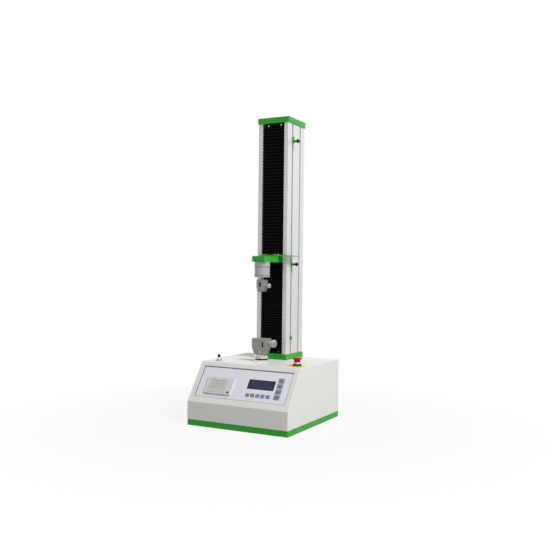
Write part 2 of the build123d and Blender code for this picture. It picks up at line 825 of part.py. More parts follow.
def column_foot():
    plate = Pos(column_x, column_front + column_depth / 2, casing_top_height) * extrude(
        RectangleRounded(column_width + 2 * foot_overhang, column_depth + 2 * foot_overhang, 2), foot_thickness)
    plate = chamfer(plate.faces().sort_by(Axis.Z)[-1].edges(), 0.6)
    plate -= rod_z(coupling_radius + slide_gap, column_x, screw_y, casing_top_height - 1, foot_top + 1)
    hole = limit_rod_radius + running_gap
    return plate - rod_z(hole, rod_x, rod_y, foot_top - limit_rod_end - limit_rod_travel - 1, foot_top + 1)


def column_cap():
    plate = Pos(column_x, column_front + column_depth / 2, column_top) * extrude(
        RectangleRounded(column_width + 2 * cap_overhang, column_depth + 2 * cap_overhang, 3), cap_thickness)
    plate = chamfer(plate.faces().sort_by(Axis.Z)[-1].edges(), 1.0)
    hole = limit_rod_radius + running_gap
    plate -= rod_z(hole, rod_x, rod_y, column_top - 1, column_top + limit_rod_end + limit_rod_travel + 1)
    for x, y in cap_screw_places():
        plate -= rod_z(small_screw_head_radius + 1.2, x, y, column_top + cap_thickness - 5, column_top + cap_thickness + 1)
        plate -= rod_z(2.5, x, y, column_top - 1, column_top + cap_thickness)
    return plate


def cap_screw_places():
    half_x = column_width / 2 - cap_screw_inset
    near, far = column_front + 10, column_back - 10
    return [(column_x + side * half_x, y) for side in (1, -1) for y in (near, far)]


# Drive: ball screw, nut, bearings, rails, motor


def bearing_block_range():
    half = bearing_block_width / 2
    return (column_x - half, column_x + half), (cover_back, cover_back + bearing_block_depth)


def bearing_blocks():
    """The two blocks that hold the ends of the screw; the upper one also steadies the column."""
    x_range, y_range = bearing_block_range()
    blocks = []
    for z0 in (foot_top, column_top - bearing_block_height):
        body = block(x_range, y_range, (z0, z0 + bearing_block_height))
        body -= rod_z(screw_journal_radius + running_gap, column_x, screw_y, z0 - 1, z0 + bearing_block_height + 1)
        seat_z = z0 + bearing_block_height if z0 == foot_top else z0
        body -= rod_z(screw_journal_radius + 8, column_x, screw_y, seat_z - 3, seat_z + 3)
        blocks.append(body)
    return Compound(children=blocks)


def ball_screw():
    """The screw: a plain journal at each end and the threaded length between the bearings."""
    lower_end = foot_top + bearing_block_height + 1
    upper_start = column_top - bearing_block_height - 1
    bar = rod_z(screw_radius, column_x, screw_y, lower_end, upper_start)
    bar += rod_z(screw_journal_radius, column_x, screw_y, coupling_low + coupling_length / 2 + 1, lower_end)
    return bar + rod_z(screw_journal_radius, column_x, screw_y, upper_start, column_top - 2)


coupling_low = motor_shelf_height + motor_shelf_thickness + 4


def shaft_coupling():
    """The clamped coupling between motor and screw, and the motor's own shaft in it."""
    outline = [
        (0, 0), (coupling_radius, 0), (coupling_radius, 12), (coupling_radius - 3, 13), (coupling_radius - 3, 15),
        (coupling_radius, 16), (coupling_radius, 24), (coupling_radius - 3, 25), (coupling_radius - 3, 27),
        (coupling_radius, 28), (coupling_radius, coupling_length), (0, coupling_length),
    ]
    sleeve = turned([(r, coupling_low + h) for r, h in outline], column_x, screw_y)
    sleeve -= rod_z(screw_journal_radius + running_gap, column_x, screw_y, coupling_low + coupling_length / 2 + 1, column_top)
    sleeve -= rod_z(motor_shaft_radius, column_x, screw_y, 0, coupling_low + coupling_length / 2 - 1)
    shaft = rod_z(motor_shaft_radius, column_x, screw_y, motor_shelf_height - 30, coupling_low + coupling_length / 2 - 1)
    return Compound(children=[*sleeve.solids(), *shaft.solids()])


def motor():
    """The gearmotor hung under its shelf: a square flange, a finned body and a rear cover."""
    half = motor_size / 2
    flange_low = motor_shelf_height - 8
    low_end = motor_shelf_height - motor_length
    flange = Pos(column_x, screw_y, flange_low) * extrude(RectangleRounded(motor_size, motor_size, 5), 8)
    body = Pos(column_x, screw_y, low_end + 22) * extrude(
        RectangleRounded(motor_size - 4, motor_size - 4, 10), flange_low - low_end - 22)
    for n in range(5):
        z = low_end + 34 + n * 8
        ring = Pos(column_x, screw_y, z) * extrude(
            Rectangle(motor_size, motor_size) - RectangleRounded(motor_size - 8, motor_size - 8, 8), 3)
        body -= ring
    cover = Pos(column_x, screw_y, low_end) * extrude(RectangleRounded(motor_size - 2, motor_size - 2, 8), 22)
    pilot = rod_z(motor_pilot_radius, column_x, screw_y, motor_shelf_height, motor_shelf_height + 2)
    whole = flange + body + cover + pilot
    whole -= rod_z(motor_shaft_radius + running_gap, column_x, screw_y, motor_shelf_height - 31, motor_shelf_height + 3)
    return whole - Pos(0, 0, 0) * block((column_x - half - 1, column_x - half + 3), (screw_y - 8, screw_y + 8),
                                        (low_end + 4, low_end + 14))


motor_pilot_radius = 18.0
pedestal_window = (90.0, 60.0)


def pedestal():
    """The welded stand inside the housing that carries the column, the grip post and the motor."""
    half = pedestal_width / 2
    top = casing_top_height - casing_wall
    deck = block((column_x - half, column_x + half), (pedestal_front, pedestal_back), (top - pedestal_top_thickness, top))
    stand = deck
    for side in (1, -1):
        outer = column_x + side * half
        inner = outer - side * pedestal_leg_thickness
        leg = block(sorted((outer, inner)), (pedestal_front, pedestal_back),
                    (base_plate_height, top - pedestal_top_thickness))
        for y in (pedestal_front + 60, pedestal_back - 60):
            leg -= block((outer - 20, outer + 20), (y - 40, y + 40), (base_plate_height + 20, motor_shelf_height - 20))
        foot = block(sorted((outer, outer + side * pedestal_foot_width)), (pedestal_front, pedestal_back),
                     (base_plate_height, base_plate_height + pedestal_foot_thickness))
        stand += leg + foot
    inner_half = half - pedestal_leg_thickness
    stand += block((column_x - inner_half, column_x + inner_half), (screw_y - 45, pedestal_back),
                   (motor_shelf_height, motor_shelf_height + motor_shelf_thickness))
    stand += block((column_x - inner_half, column_x + inner_half), (load_y - 6, load_y + 6),
                   (motor_shelf_height, top - pedestal_top_thickness))
    stand -= rod_z(motor_pilot_radius + seat_gap, column_x, screw_y, motor_shelf_height - 1,
                   motor_shelf_height + motor_shelf_thickness + 1)
    stand -= rod_z(coupling_radius + slide_gap, column_x, screw_y, top - pedestal_top_thickness - 1, top + 1)
    return stand - rod_z(post_shank_radius + running_gap, column_x, load_y, top - pedestal_top_thickness - 14, top + 1)


def power_supply():
    """The power supply and motor drive in one vented case on the base plate."""
    left = -base_width / 2 + casing_wall + supply_side_gap
    right = column_x - pedestal_width / 2 - pedestal_foot_width - supply_foot_gap
    back = casing_back - back_panel_thickness - supply_back_gap
    front = back - supply_length
    case = block((left, right), (front, back), (base_plate_height, base_plate_height + supply_height))
    case = fillet(case.edges().filter_by(Axis.Z), 2)
    pitch = (supply_length - 20) / supply_slot_count
    for n in range(supply_slot_count):
        y = front + 10 + (n + 0.5) * pitch
        case -= block((right - 1, right + 8), (y - 4, y + 4),
                      (base_plate_height + 12, base_plate_height + supply_height - 12))
    return case


def guide_rails():
    """Two ground rails on the back wall, each with its counterbored screw holes."""
    rails = []
    for side in (1, -1):
        x = column_x + side * rail_spacing / 2
        section = mirrored_outline([(0, 0), (5.5, 0), (5.5, 4), (4.2, 6), (rail_width / 2, 8.5), (rail_width / 2, 11),
                                    (rail_width / 2 - 1, rail_height), (0, rail_height)])
        section = Rot(0, 0, 180) * section
        z0 = foot_top + bearing_block_height
        z1 = column_top - bearing_block_height
        rails.append(Pos(x, rail_face, z0 + rail_end_gap) * extrude(section, z1 - z0 - 2 * rail_end_gap))
    return Compound(children=rails)


carriage_middle = arm_underside + arm_root_height / 2


def rail_bearings():
    """Two bearing blocks that ride the rails, with the groove that clasps the rail."""
    blocks = []
    for side in (1, -1):
        x = column_x + side * rail_spacing / 2
        outline = Pos(0, -rail_block_height / 2 - 3) * RectangleRounded(rail_block_width, rail_block_height, 1.5)
        groove = mirrored_outline([(0, 1), (5.5 + slide_gap, 1), (5.5 + slide_gap, -4), (4.2 + slide_gap, -6),
                                   (rail_width / 2 + slide_gap, -8.5), (rail_width / 2 + slide_gap, -11.3),
                                   (rail_width / 2 - 1 + slide_gap, -rail_height - slide_gap),
                                   (0, -rail_height - slide_gap)])
        blocks.append(Pos(x, rail_face, carriage_middle - rail_block_length / 2) * extrude(
            outline - groove, rail_block_length))
    return Compound(children=blocks)


def ball_nut():
    """The flanged nut under the carriage, round the screw."""
    top = carriage_middle - carriage_body_height / 2
    outline = [
        (screw_radius + running_gap, top), (nut_flange_radius, top), (nut_flange_radius, top - nut_flange_thickness),
        (nut_body_radius, top - nut_flange_thickness), (nut_body_radius, top - nut_body_length),
        (screw_radius + running_gap, top - nut_body_length),
    ]
    return turned(outline, column_x, screw_y)


carriage_body_height = 44.0
carriage_body_width = 82.0


def carriage():
    """The block behind the covers: front plate in the opening, body between the rails' bearings and the nut."""
    half_opening = opening_width / 2 - 1
    rear = rail_face - rail_block_height - 3
    plate = block((column_x - half_opening, column_x + half_opening), (cover_peak, cover_back),
                  (arm_underside, root_top))
    half = carriage_body_width / 2
    body = block((column_x - half, column_x + half), (cover_back, rear),
                 (carriage_middle - carriage_body_height / 2, carriage_middle + carriage_body_height / 2))
    body = chamfer(body.edges().filter_by(Axis.Y), 3)
    whole = plate + body
    for side in (1, -1):
        whole -= block(sorted((column_x + side * 24, column_x + side * 36)), (cover_back + 12, rear - 12),
                       (carriage_middle - carriage_body_height, carriage_middle + carriage_body_height))
    return whole - rod_z(screw_radius + 1, column_x, screw_y, 0, column_top)


# Pleated covers


def pleated_cover(z0, z1, folds, flange_at_top):
    """A cover folded from sheet, as one zigzag, with the stiff flange that is screwed to a bearing block."""
    flange_z = (z1 - cover_flange_height, z1) if flange_at_top else (z0, z0 + cover_flange_height)
    start = z0 if flange_at_top else flange_z[1]
    end = flange_z[0] if flange_at_top else z1
    step = (end - start) / (2 * folds)
    front = [(cover_peak if n % 2 else cover_valley - cover_sheet, start + n * step) for n in range(2 * folds + 1)]
    back = [(y + cover_sheet, z) for y, z in reversed(front)]
    face = make_face(Plane.YZ * Polyline(*front, *back, close=True))
    cloth = Pos(column_x - cover_width / 2, 0, 0) * extrude(face, cover_width, dir=(1, 0, 0))
    half = cover_width / 2
    flange = block((column_x - half, column_x + half), (cover_valley - cover_sheet, cover_back), flange_z)
    for x in cover_screw_places():
        flange -= rod_y_axis(small_screw_head_radius, x, cover_valley - cover_sheet - 1, cover_valley + 1,
                             sum(flange_z) / 2)
    return cloth + flange


def cover_screw_places():
    return [column_x + side * cover_screw_spread / 2 for side in (1, -1)]


# Crosshead


def crosshead_arm():
    """The green arm: a plate that flares to a thicker root and a flange on the carriage."""
    front = column_front - arm_reach
    flange_front = cover_peak - arm_flange_thickness
    root_front = flange_front - arm_root_depth
    half, root_half, flange_half = arm_width / 2, arm_root_width / 2, arm_flange_width / 2
    plan = mirrored_outline([(0, front), (half, front), (half, root_front - arm_flare), (root_half, root_front),
                             (root_half, flange_front), (0, flange_front)])
    arm = Pos(column_x, 0, arm_underside) * extrude(plan, arm_thickness)
    arm = fillet(arm.edges().filter_by(Axis.Z).sort_by(Axis.Y)[:2], arm_corner_radius)
    arm += block((column_x - root_half, column_x + root_half), (root_front, flange_front), (arm_underside, root_top))
    arm += block((column_x - flange_half, column_x + flange_half), (flange_front, cover_peak),
                 (arm_underside, arm_underside + arm_flange_height))
    head = Pos(column_x, load_y, 0)
    arm -= head * rod_z(centre_screw_radius, 0, 0, arm_underside - 1, arm_top + 1)
    return arm - turned([(0, arm_top - 6), (centre_screw_radius, arm_top - 6), (centre_head_radius, arm_top + 0.01),
                         (centre_head_radius, arm_top + 2), (0, arm_top + 2)], column_x, load_y)


centre_screw_radius = 6.1
centre_head_radius = 12.0


def trip_finger():
    """The thin plate that reaches round the column and trips the stops."""
    z0 = arm_underside + arm_flange_height
    side_x = column_right + finger_gap
    outer = column_right + finger_reach
    rear = column_front - finger_gap + finger_wrap
    front = column_front - finger_gap - finger_front_width
    root_side = column_x + arm_root_width / 2 + slide_gap
    back = column_front - finger_gap
    points = [
        (root_side, back), (root_side, front), (outer - 6, front), (outer, front + 6), (outer, rear), (side_x, rear),
        (side_x, back),
    ]
    plate = Pos(0, 0, z0) * extrude(make_face(Polyline(*points, close=True)), finger_thickness)
    flange_front = cover_peak - arm_flange_thickness
    tail = block((column_x - arm_flange_width / 2 + 4, root_side), (flange_front + slide_gap, back),
                 (z0, z0 + finger_thickness))
    return plate + tail


def crosshead_screws():
    """Screw heads in the root of the arm, and the countersunk screw that holds the load cell."""
    heads = []
    y = cover_peak - arm_flange_thickness - arm_root_depth / 2 + 5
    outer = arm_root_width / 2 - root_screw_inset
    inner = arm_width / 2 - root_screw_inset - 2
    for x in (-outer, -inner, inner, outer):
        head = rod_z(small_screw_head_radius, column_x + x, y, root_top, root_top + small_screw_head_height)
        heads.append(chamfer(head.faces().sort_by(Axis.Z)[-1].edges(), 0.6))
    centre = turned([(0, arm_underside - 14), (centre_screw_radius - seat_gap, arm_underside - 14),
                     (centre_screw_radius - seat_gap, arm_top - 6 + seat_gap), (centre_head_radius - seat_gap, arm_top),
                     (4, arm_top), (4, arm_top - 4), (0, arm_top - 4)], column_x, load_y)
    return Compound(children=heads + [centre])


def load_cell():
    """A turned housing: top band, waist, bottom band, with a cable hole facing front right."""
    r, waist, top, low_z = cell_radius, cell_radius - cell_waist, arm_underside, cell_bottom
    band = top - cell_top_band
    ring = low_z + cell_bottom_band
    middle = low_z + cell_bottom_band / 2
    groove = r - cell_groove
    outline = [
        (0, top), (r - 1, top), (r, top - 1), (r, band), (groove, band), (groove, band - 2), (waist, band - 2),
        (waist, ring), (r, ring), (r, middle + 0.7), (groove, middle + 0.7), (groove, middle - 0.7), (r, middle - 0.7),
        (r, low_z + 1.2), (r - 1.2, low_z), (0, low_z),
    ]
    body = turned(outline, column_x, load_y)
    body -= rod_z(centre_screw_radius - seat_gap + running_gap, column_x, load_y, top - 15, top + 1)
    body -= rod_z(cell_stud_radius + running_gap, column_x, load_y, low_z - 1, low_z + 12 + slide_gap)
    angle = radians(28)
    hole = Pos(column_x + r * sin(angle), load_y - r * cos(angle), top - 6) * Rot(0, 0, 28) * Rot(90, 0, 0) * Cylinder(
        1.6, 10)
    return body - hole


def grip_outline(width, foot_width, height, taper):
    """The front view of a grip: straight sides that curve in over the taper to a narrower foot."""
    half, foot = width / 2, foot_width / 2
    knee = (half - (half - foot) * 0.35, taper * 0.45)
    right = Polyline((foot, 0), (0, 0)) + ThreePointArc((foot, 0), knee, (half, taper))
    upright = Line((half, taper), (half, height))
    across = Line((half, height), (-half, height))
    left = Line((-half, height), (-half, taper)) + ThreePointArc((-half, taper), (-knee[0], knee[1]), (-foot, 0))
    return make_face(right + upright + across + left + Line((-foot, 0), (0, 0)))


def grip_solid(outline, depth, bottom):
    """A grip body from its front view, square to the load line."""
    face = Plane(origin=(column_x, load_y + depth / 2, bottom), x_dir=(1, 0, 0), z_dir=(0, -1, 0)) * outline
    return extrude(face, depth, dir=(0, -1, 0))


upper_slot_left = column_x - upper_jaw_gap / 2
upper_jaw_left = column_x + upper_jaw_gap / 2
upper_leg_left = upper_jaw_left + upper_jaw_thickness + slide_gap
upper_grip_right = column_x + upper_grip_width / 2
upper_screw_z = upper_grip_top - upper_screw_height
upper_bridge_z = upper_grip_top - upper_grip_bridge
upper_land_top = upper_grip_bottom + upper_land_height


def upper_grip_body():
    """The fork: a window between its legs, and a gripping land on the left leg under the window."""
    outline = grip_outline(upper_grip_width, upper_grip_foot_width, upper_grip_height, upper_grip_taper_height)
    body = grip_solid(outline, upper_grip_depth, upper_grip_bottom)
    body = chamfer(body.edges().filter_by(Axis.X).sort_by(Axis.Z)[-2:], 1.5)
    half = upper_grip_depth / 2 + 1
    body -= block((upper_slot_left, upper_leg_left), (load_y - half, load_y + half), (upper_land_top, upper_bridge_z))
    body -= block((column_x - upper_land_gap / 2, upper_leg_left), (load_y - half, load_y + half),
                  (upper_grip_bottom - 1, upper_land_top + 1))
    body -= rod_x_axis(upper_screw_radius + running_gap, upper_leg_left - 1, upper_grip_right + 1, load_y, upper_screw_z)
    return body + rod_z(cell_stud_radius, column_x, load_y, upper_grip_top - 1, cell_bottom + 12)


def serrated(jaw, face_x, z0, z1, half_depth, teeth):
    """A jaw with saw cuts across its gripping face."""
    pitch = (z1 - z0) / teeth
    for n in range(teeth):
        jaw -= Pos(face_x, load_y, z0 + (n + 0.5) * pitch) * Rot(0, 45, 0) * Box(0.9, 2 * half_depth + 2, 0.9)
    return jaw


def upper_grip_jaw():
    """The moving jaw: a plate that the screw pushes across the slot, with a serrated land at its foot."""
    half = upper_grip_depth / 2 - 0.4
    x1 = upper_jaw_left + upper_jaw_thickness
    z0 = upper_grip_bottom + 2.5
    land_left = column_x + upper_land_gap / 2
    jaw = block((upper_jaw_left, x1), (load_y - half, load_y + half), (z0, upper_bridge_z - slide_gap))
    jaw += block((land_left, x1), (load_y - half, load_y + half), (z0, upper_land_top - slide_gap))
    return serrated(jaw, land_left, z0, upper_land_top - slide_gap, half, 5)


def fluted_knob(radius, length, flutes):
    """A knob along X from X = 0, with flutes along its rim and a chamfer at both ends."""
    section = Circle(radius)
    for place in PolarLocations(radius + 0.5, flutes):
        section -= place * Circle(1.3)
    rim = min(1.2, length / 4)
    outline = Polyline((0, 0), (0, radius - rim), (rim, radius), (length - rim, radius), (length, radius - rim),
                       (length, 0), close=True)
    barrel = revolve(make_face(outline), Axis.X)
    return barrel & (Plane.YZ * extrude(section, length))


def grip_screw(radius, start, showing_from, showing, knob_radius, knob_length, z):
    """A clamping screw along X with its fluted knob."""
    knob_start = showing_from + showing
    shaft = rod_x_axis(radius, start, knob_start + 1, load_y, z)
    return shaft + Pos(knob_start, load_y, z) * fluted_knob(knob_radius, knob_length, knob_flutes)


def upper_grip_screw():
    start = upper_jaw_left + upper_jaw_thickness + 0.05
    return grip_screw(upper_screw_radius, start, upper_grip_right, upper_screw_showing, upper_knob_radius,
                      upper_knob_length, upper_screw_z)


lower_jaw_left = column_x + slide_gap
lower_jaw_right = lower_jaw_left + lower_jaw_thickness
lower_leg_left = lower_jaw_right + lower_jaw_opening + slide_gap
lower_grip_right = column_x + lower_grip_width / 2
lower_screw_z = lower_grip_bottom + lower_screw_height
lower_slot_floor = lower_grip_top - lower_jaw_height
lower_leg_top = lower_grip_top - lower_lip_height - slide_gap
recess_floor = load_y - lower_grip_depth / 2 + grip_recess_depth


def lower_grip_body():
    """The body: a tall fixed jaw on the left, a lower leg for the screw, and the recess with the cross pin."""
    outline = grip_outline(lower_grip_width, lower_grip_foot_width, lower_grip_height, lower_grip_taper_height)
    body = grip_solid(outline, lower_grip_depth, lower_grip_bottom)
    body = chamfer(body.edges().filter_by(Axis.X).sort_by(Axis.Z)[-2:], 1.5)
    half = lower_grip_depth / 2 + 1
    y_range = (load_y - half, load_y + half)
    body -= block((column_x, lower_leg_left), y_range, (lower_slot_floor, lower_grip_top + 1))
    body -= block((column_x, lower_grip_right + 1), y_range, (lower_leg_top, lower_grip_top + 1))
    body -= rod_x_axis(lower_screw_radius + running_gap, lower_leg_left - 1, lower_grip_right + 1, load_y, lower_screw_z)
    body -= rod_z(post_spigot_radius + running_gap, column_x, load_y, lower_grip_bottom - 1,
                  lower_grip_bottom + post_spigot_height + 0.5)
    recess = Plane(origin=(column_x + grip_recess_offset, load_y - half, grip_pin_z), x_dir=(1, 0, 0),
                   z_dir=(0, -1, 0)) * SlotOverall(grip_recess_width, grip_recess_height)
    body -= extrude(recess, recess_floor - load_y + half, dir=(0, 1, 0))
    return body - rod_y_axis(grip_pin_radius + running_gap, column_x, load_y - half, load_y + half, grip_pin_z)


grip_pin_z = lower_grip_bottom + grip_pin_level


def lower_grip_jaw():
    """The moving jaw: a serrated plate with a lip that closes the gap behind it and slides over the leg."""
    half = lower_grip_depth / 2 - 0.4
    y_range = (load_y - half, load_y + half)
    z0 = lower_slot_floor + slide_gap
    top = lower_grip_top
    jaw = block((lower_jaw_left, lower_jaw_right), y_range, (z0, top))
    jaw += block((lower_jaw_left, lower_grip_right), y_range, (top - lower_lip_height, top))
    jaw = chamfer(jaw.edges().filter_by(Axis.X).sort_by(Axis.Z)[-2:], 1.1)
    return serrated(jaw, lower_jaw_left, z0, top - 2, half, 9)


def lower_grip_screw():
    """The lower clamping screw, with the plain shoulder that shows between the grip and the knob."""
    screw = grip_screw(lower_screw_radius, lower_jaw_right + 0.05, lower_grip_right, lower_screw_showing,
                       lower_knob_radius, lower_knob_length, lower_screw_z)
    return screw + rod_x_axis(lower_shoulder_radius, lower_grip_right + 2 * slide_gap,
                              lower_grip_right + lower_screw_showing + 1, load_y, lower_screw_z)


def grip_post():
    """The turned post under the lower grip: flange, groove, polished collar and the spigot above it."""
    base = casing_top_height
    groove_low = base + post_flange_height
    groove_high = groove_low + post_groove_height
    outline = [
        (0, base - 22), (post_shank_radius, base - 22), (post_shank_radius, base), (post_flange_radius, base),
        (post_flange_radius, groove_low - 0.8), (post_flange_radius - 0.8, groove_low), (post_groove_radius, groove_low),
        (post_groove_radius, groove_high), (post_collar_radius - 0.8, groove_high),
        (post_collar_radius, groove_high + 0.8), (post_collar_radius, post_top - 1.2),
        (post_collar_radius - 1.2, post_top), (post_spigot_radius, post_top),
        (post_spigot_radius, post_top + post_spigot_height - 1), (post_spigot_radius - 1, post_top + post_spigot_height),
        (0, post_top + post_spigot_height),
    ]
    post = turned(outline, column_x, load_y)
    return post - rod_y_axis(grip_pin_radius + running_gap, column_x, load_y - post_spigot_radius - 1,
                             load_y + post_spigot_radius + 1, grip_pin_z)


# Limit rod and stops


def limit_rod():
    bar = rod_z(limit_rod_radius, rod_x, rod_y, foot_top - limit_rod_end, column_top + limit_rod_end)
    return chamfer(bar.edges().filter_by(GeomType.CIRCLE), 0.5)


def limit_stop(z0, height, strip_height, with_knob):
    """A stop: a foot inside the slot round the rod, a tongue through the slot's mouth, and the block outside."""
    outside = column_right + slide_gap
    middle = z0 + height / 2
    strip = (middle - strip_height / 2, middle + strip_height / 2)
    half = stop_width / 2
    body = block((outside, outside + stop_reach), (rod_y - half, rod_y + half), (z0, z0 + height))
    body = chamfer(body.faces().sort_by(Axis.X)[-1].edges(), 1.2)
    half = slot_mouth / 2 - slide_gap
    body += block((column_right - slot_lip - 1, outside + 0.5), (rod_y - half, rod_y + half), strip)
    half = stop_foot_width / 2
    body += block((column_right - slot_depth + 2 * slide_gap, column_right - slot_lip - slide_gap),
                  (rod_y - half + 1, rod_y + half - 1), strip)
    body += block((column_right - slot_depth + 2, column_right - slot_lip - slide_gap), (rod_y - half, rod_y + half), strip)
    body -= rod_z(limit_rod_radius + running_gap, rod_x, rod_y, strip[0] - 1, strip[1] + 1)
    if with_knob:
        body -= rod_x_axis(stop_stem_radius + running_gap, rod_x, outside + stop_reach + 1, rod_y, z0 + stop_knob_rise)
    return body


def stop_knob(z):
    """A ball knob on its clamping stem."""
    face = column_right + slide_gap + stop_reach
    ball_x = face + stop_stem_showing + stop_knob_radius
    stem = rod_x_axis(stop_stem_radius, rod_x + limit_rod_radius + slide_gap, ball_x, rod_y, z)
    ball = Pos(ball_x, rod_y, z) * Sphere(stop_knob_radius)
    seat = rod_x_axis(stop_stem_radius + 1.2, face + 1.5, ball_x - 2, rod_y, z)
    return stem + ball + seat


# Small screws that hold the root pieces


def machine_screws():
    """Small screw heads of the covers, cap and back panel, and the cross pin of the lower grip."""
    heads = []
    for z in (foot_top + cover_flange_height / 2, column_top - cover_flange_height / 2):
        for x in cover_screw_places():
            face = cover_valley + 1
            head = rod_y_axis(small_screw_head_radius - 0.1, x, face - 4, face, z)
            heads.append(chamfer(head.faces().sort_by(Axis.Y)[0].edges(), 0.6))
    for x, y in cap_screw_places():
        top = column_top + cap_thickness
        heads.append(rod_z(small_screw_head_radius + 1, x, y, top - 5, top - 0.5))
    for x in (-base_width / 2 + 12, 0, base_width / 2 - 12):
        for z in (base_plate_height + 12, casing_top_height - 14):
            heads.append(rod_y_axis(small_screw_head_radius, x, casing_back, casing_back + 1.6, z))
    pin_back = load_y + lower_grip_depth / 2 - 1
    pin = rod_y_axis(grip_pin_radius, column_x, recess_floor, pin_back, grip_pin_z)
    head = rod_y_axis(grip_pin_head_radius, column_x, recess_floor - grip_recess_depth, recess_floor, grip_pin_z)
    heads.append(pin + chamfer(head.faces().sort_by(Axis.Y)[0].edges(), 0.8))
    return Compound(children=heads)


pieces = {
    "base_plate": base_plate,
    "casing": casing,
    "back_panel": back_panel,
    "rear_sockets": rear_sockets,
    "power_rocker": power_rocker,
    "pedestal": pedestal,
    "power_supply": power_supply,
    "motor": motor,
    "shaft_coupling": shaft_coupling,
    "control_panel": control_panel,
    "panel_overlay": panel_overlay,
    "lcd_window": lcd_window,
    "display_board": display_board,
    "printer_housing": printer_housing,
    "printer_door": printer_door,
    "paper_roll": paper_roll,
    "feed_button": feed_button,
    "estop_legend": estop_legend,
    "estop_collar": estop_collar,
    "estop_plunger": estop_plunger,
    "estop_head": estop_head,
    "sensor_gland": sensor_gland,
    "column_foot": column_foot,
    "column_profile": column_profile,
    "column_cap": column_cap,
    "bearing_blocks": bearing_blocks,
    "ball_screw": ball_screw,
    "guide_rails": guide_rails,
    "rail_bearings": rail_bearings,
    "ball_nut": ball_nut,
    "carriage": carriage,
    "crosshead_arm": crosshead_arm,
    "trip_finger": trip_finger,
    "crosshead_screws": crosshead_screws,
    "load_cell": load_cell,
    "upper_grip_body": upper_grip_body,
    "upper_grip_jaw": upper_grip_jaw,
    "upper_grip_screw": upper_grip_screw,
    "lower_grip_body": lower_grip_body,
    "lower_grip_jaw": lower_grip_jaw,
    "lower_grip_screw": lower_grip_screw,
    "grip_post": grip_post,
    "limit_rod": limit_rod,
    "machine_screws": machine_screws,
}

for name, make in pieces.items():
    save(make(), name)

for n, (u, v) in enumerate(row_key_places(), 1):
    save(key(u, v, row_key_width, row_key_length), f"row_key_{n}")
for n, (u, v) in enumerate(side_key_places(), 1):
    save(key(u, v, side_key_width, side_key_length), f"side_key_{n}")

save(pleated_cover(root_top, column_top, upper_fold_count, True), "upper_cover")
save(pleated_cover(foot_top, arm_underside, lower_fold_count, False), "lower_cover")

save(limit_stop(upper_stop_underside, upper_stop_height, upper_stop_height, True), "upper_stop")
save(limit_stop(middle_stop_underside, middle_stop_height, middle_strip_height, True), "middle_stop")
save(limit_stop(lower_stop_underside, lower_stop_height, lower_stop_height, False), "lower_stop")
save(stop_knob(upper_stop_underside + stop_knob_rise), "upper_stop_knob")
save(stop_knob(middle_stop_underside + stop_knob_rise), "middle_stop_knob")
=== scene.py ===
# %% [markdown]
# A single-column strength tester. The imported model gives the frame: every solid is already in its place,
# in metres, with X to the right, Y to the back and Z up. This lesson dresses it: camera, light, finishes,
# and the soft or fine pieces that a solid model can't show well, such as the pleated covers.

from math import asin, radians, sin, sqrt

import bmesh
import bpy
from mathutils import Matrix, Vector


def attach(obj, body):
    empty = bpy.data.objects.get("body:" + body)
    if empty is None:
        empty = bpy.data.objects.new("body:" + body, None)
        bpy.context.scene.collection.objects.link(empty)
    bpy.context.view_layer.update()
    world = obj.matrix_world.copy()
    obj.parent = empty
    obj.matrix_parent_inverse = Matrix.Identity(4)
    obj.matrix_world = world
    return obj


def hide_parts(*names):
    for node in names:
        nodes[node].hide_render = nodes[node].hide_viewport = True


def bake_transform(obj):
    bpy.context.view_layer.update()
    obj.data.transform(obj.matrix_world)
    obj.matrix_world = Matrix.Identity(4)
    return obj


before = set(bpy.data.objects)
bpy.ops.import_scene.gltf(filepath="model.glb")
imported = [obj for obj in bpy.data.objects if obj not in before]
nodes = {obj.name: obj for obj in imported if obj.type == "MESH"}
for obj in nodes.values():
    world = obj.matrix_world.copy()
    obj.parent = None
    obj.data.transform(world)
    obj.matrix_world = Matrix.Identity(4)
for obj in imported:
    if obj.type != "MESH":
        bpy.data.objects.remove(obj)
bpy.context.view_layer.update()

# %% [markdown]
# The camera comes from a fit of the solid model's corners to the photograph. It could be set by eye, but a
# fit gives every edge its place to a fraction of a pixel. It is given as a place and three directions,
# which fill the columns of its matrix. The photograph is square, so the sensor is used in full both ways.

# %% Camera
camera_place = Vector((1.213072, -2.196901, 0.514656))
camera_right = Vector((0.88383582, 0.46764321, 0.01200283))
camera_up = Vector((-0.01538358, 0.00341118, 0.99987585))
camera_forward = Vector((-0.46754421, 0.88391074, -0.01020895))
camera_data = bpy.data.cameras.new("camera")
camera_data.lens = 46.3715
camera_data.sensor_width = 36.0
camera_data.clip_end = 60.0
camera = bpy.data.objects.new("camera", camera_data)
bpy.context.collection.objects.link(camera)
camera_turn = Matrix((camera_right, camera_up, -camera_forward)).transposed()
camera.matrix_world = Matrix.Translation(camera_place) @ camera_turn.to_4x4()
bpy.context.scene.camera = camera
print("camera", tuple(round(v, 3) for v in camera_place))

# %% [markdown]
# Shader maths reads better as Python than as a heap of nodes. Signal wraps one socket, so that a + b or
# 1 - mask adds the Math node by itself. Look starts a material and adds any other node by its type.


# %% Screen colours and signals
def srgb(red, green, blue):
    """A screen colour, 0 to 255, as the linear colour that shaders use."""
    linear = [((v / 255 + 0.055) / 1.055) ** 2.4 if v > 10 else v / 255 / 12.92 for v in (red, green, blue)]
    return (*linear, 1.0)


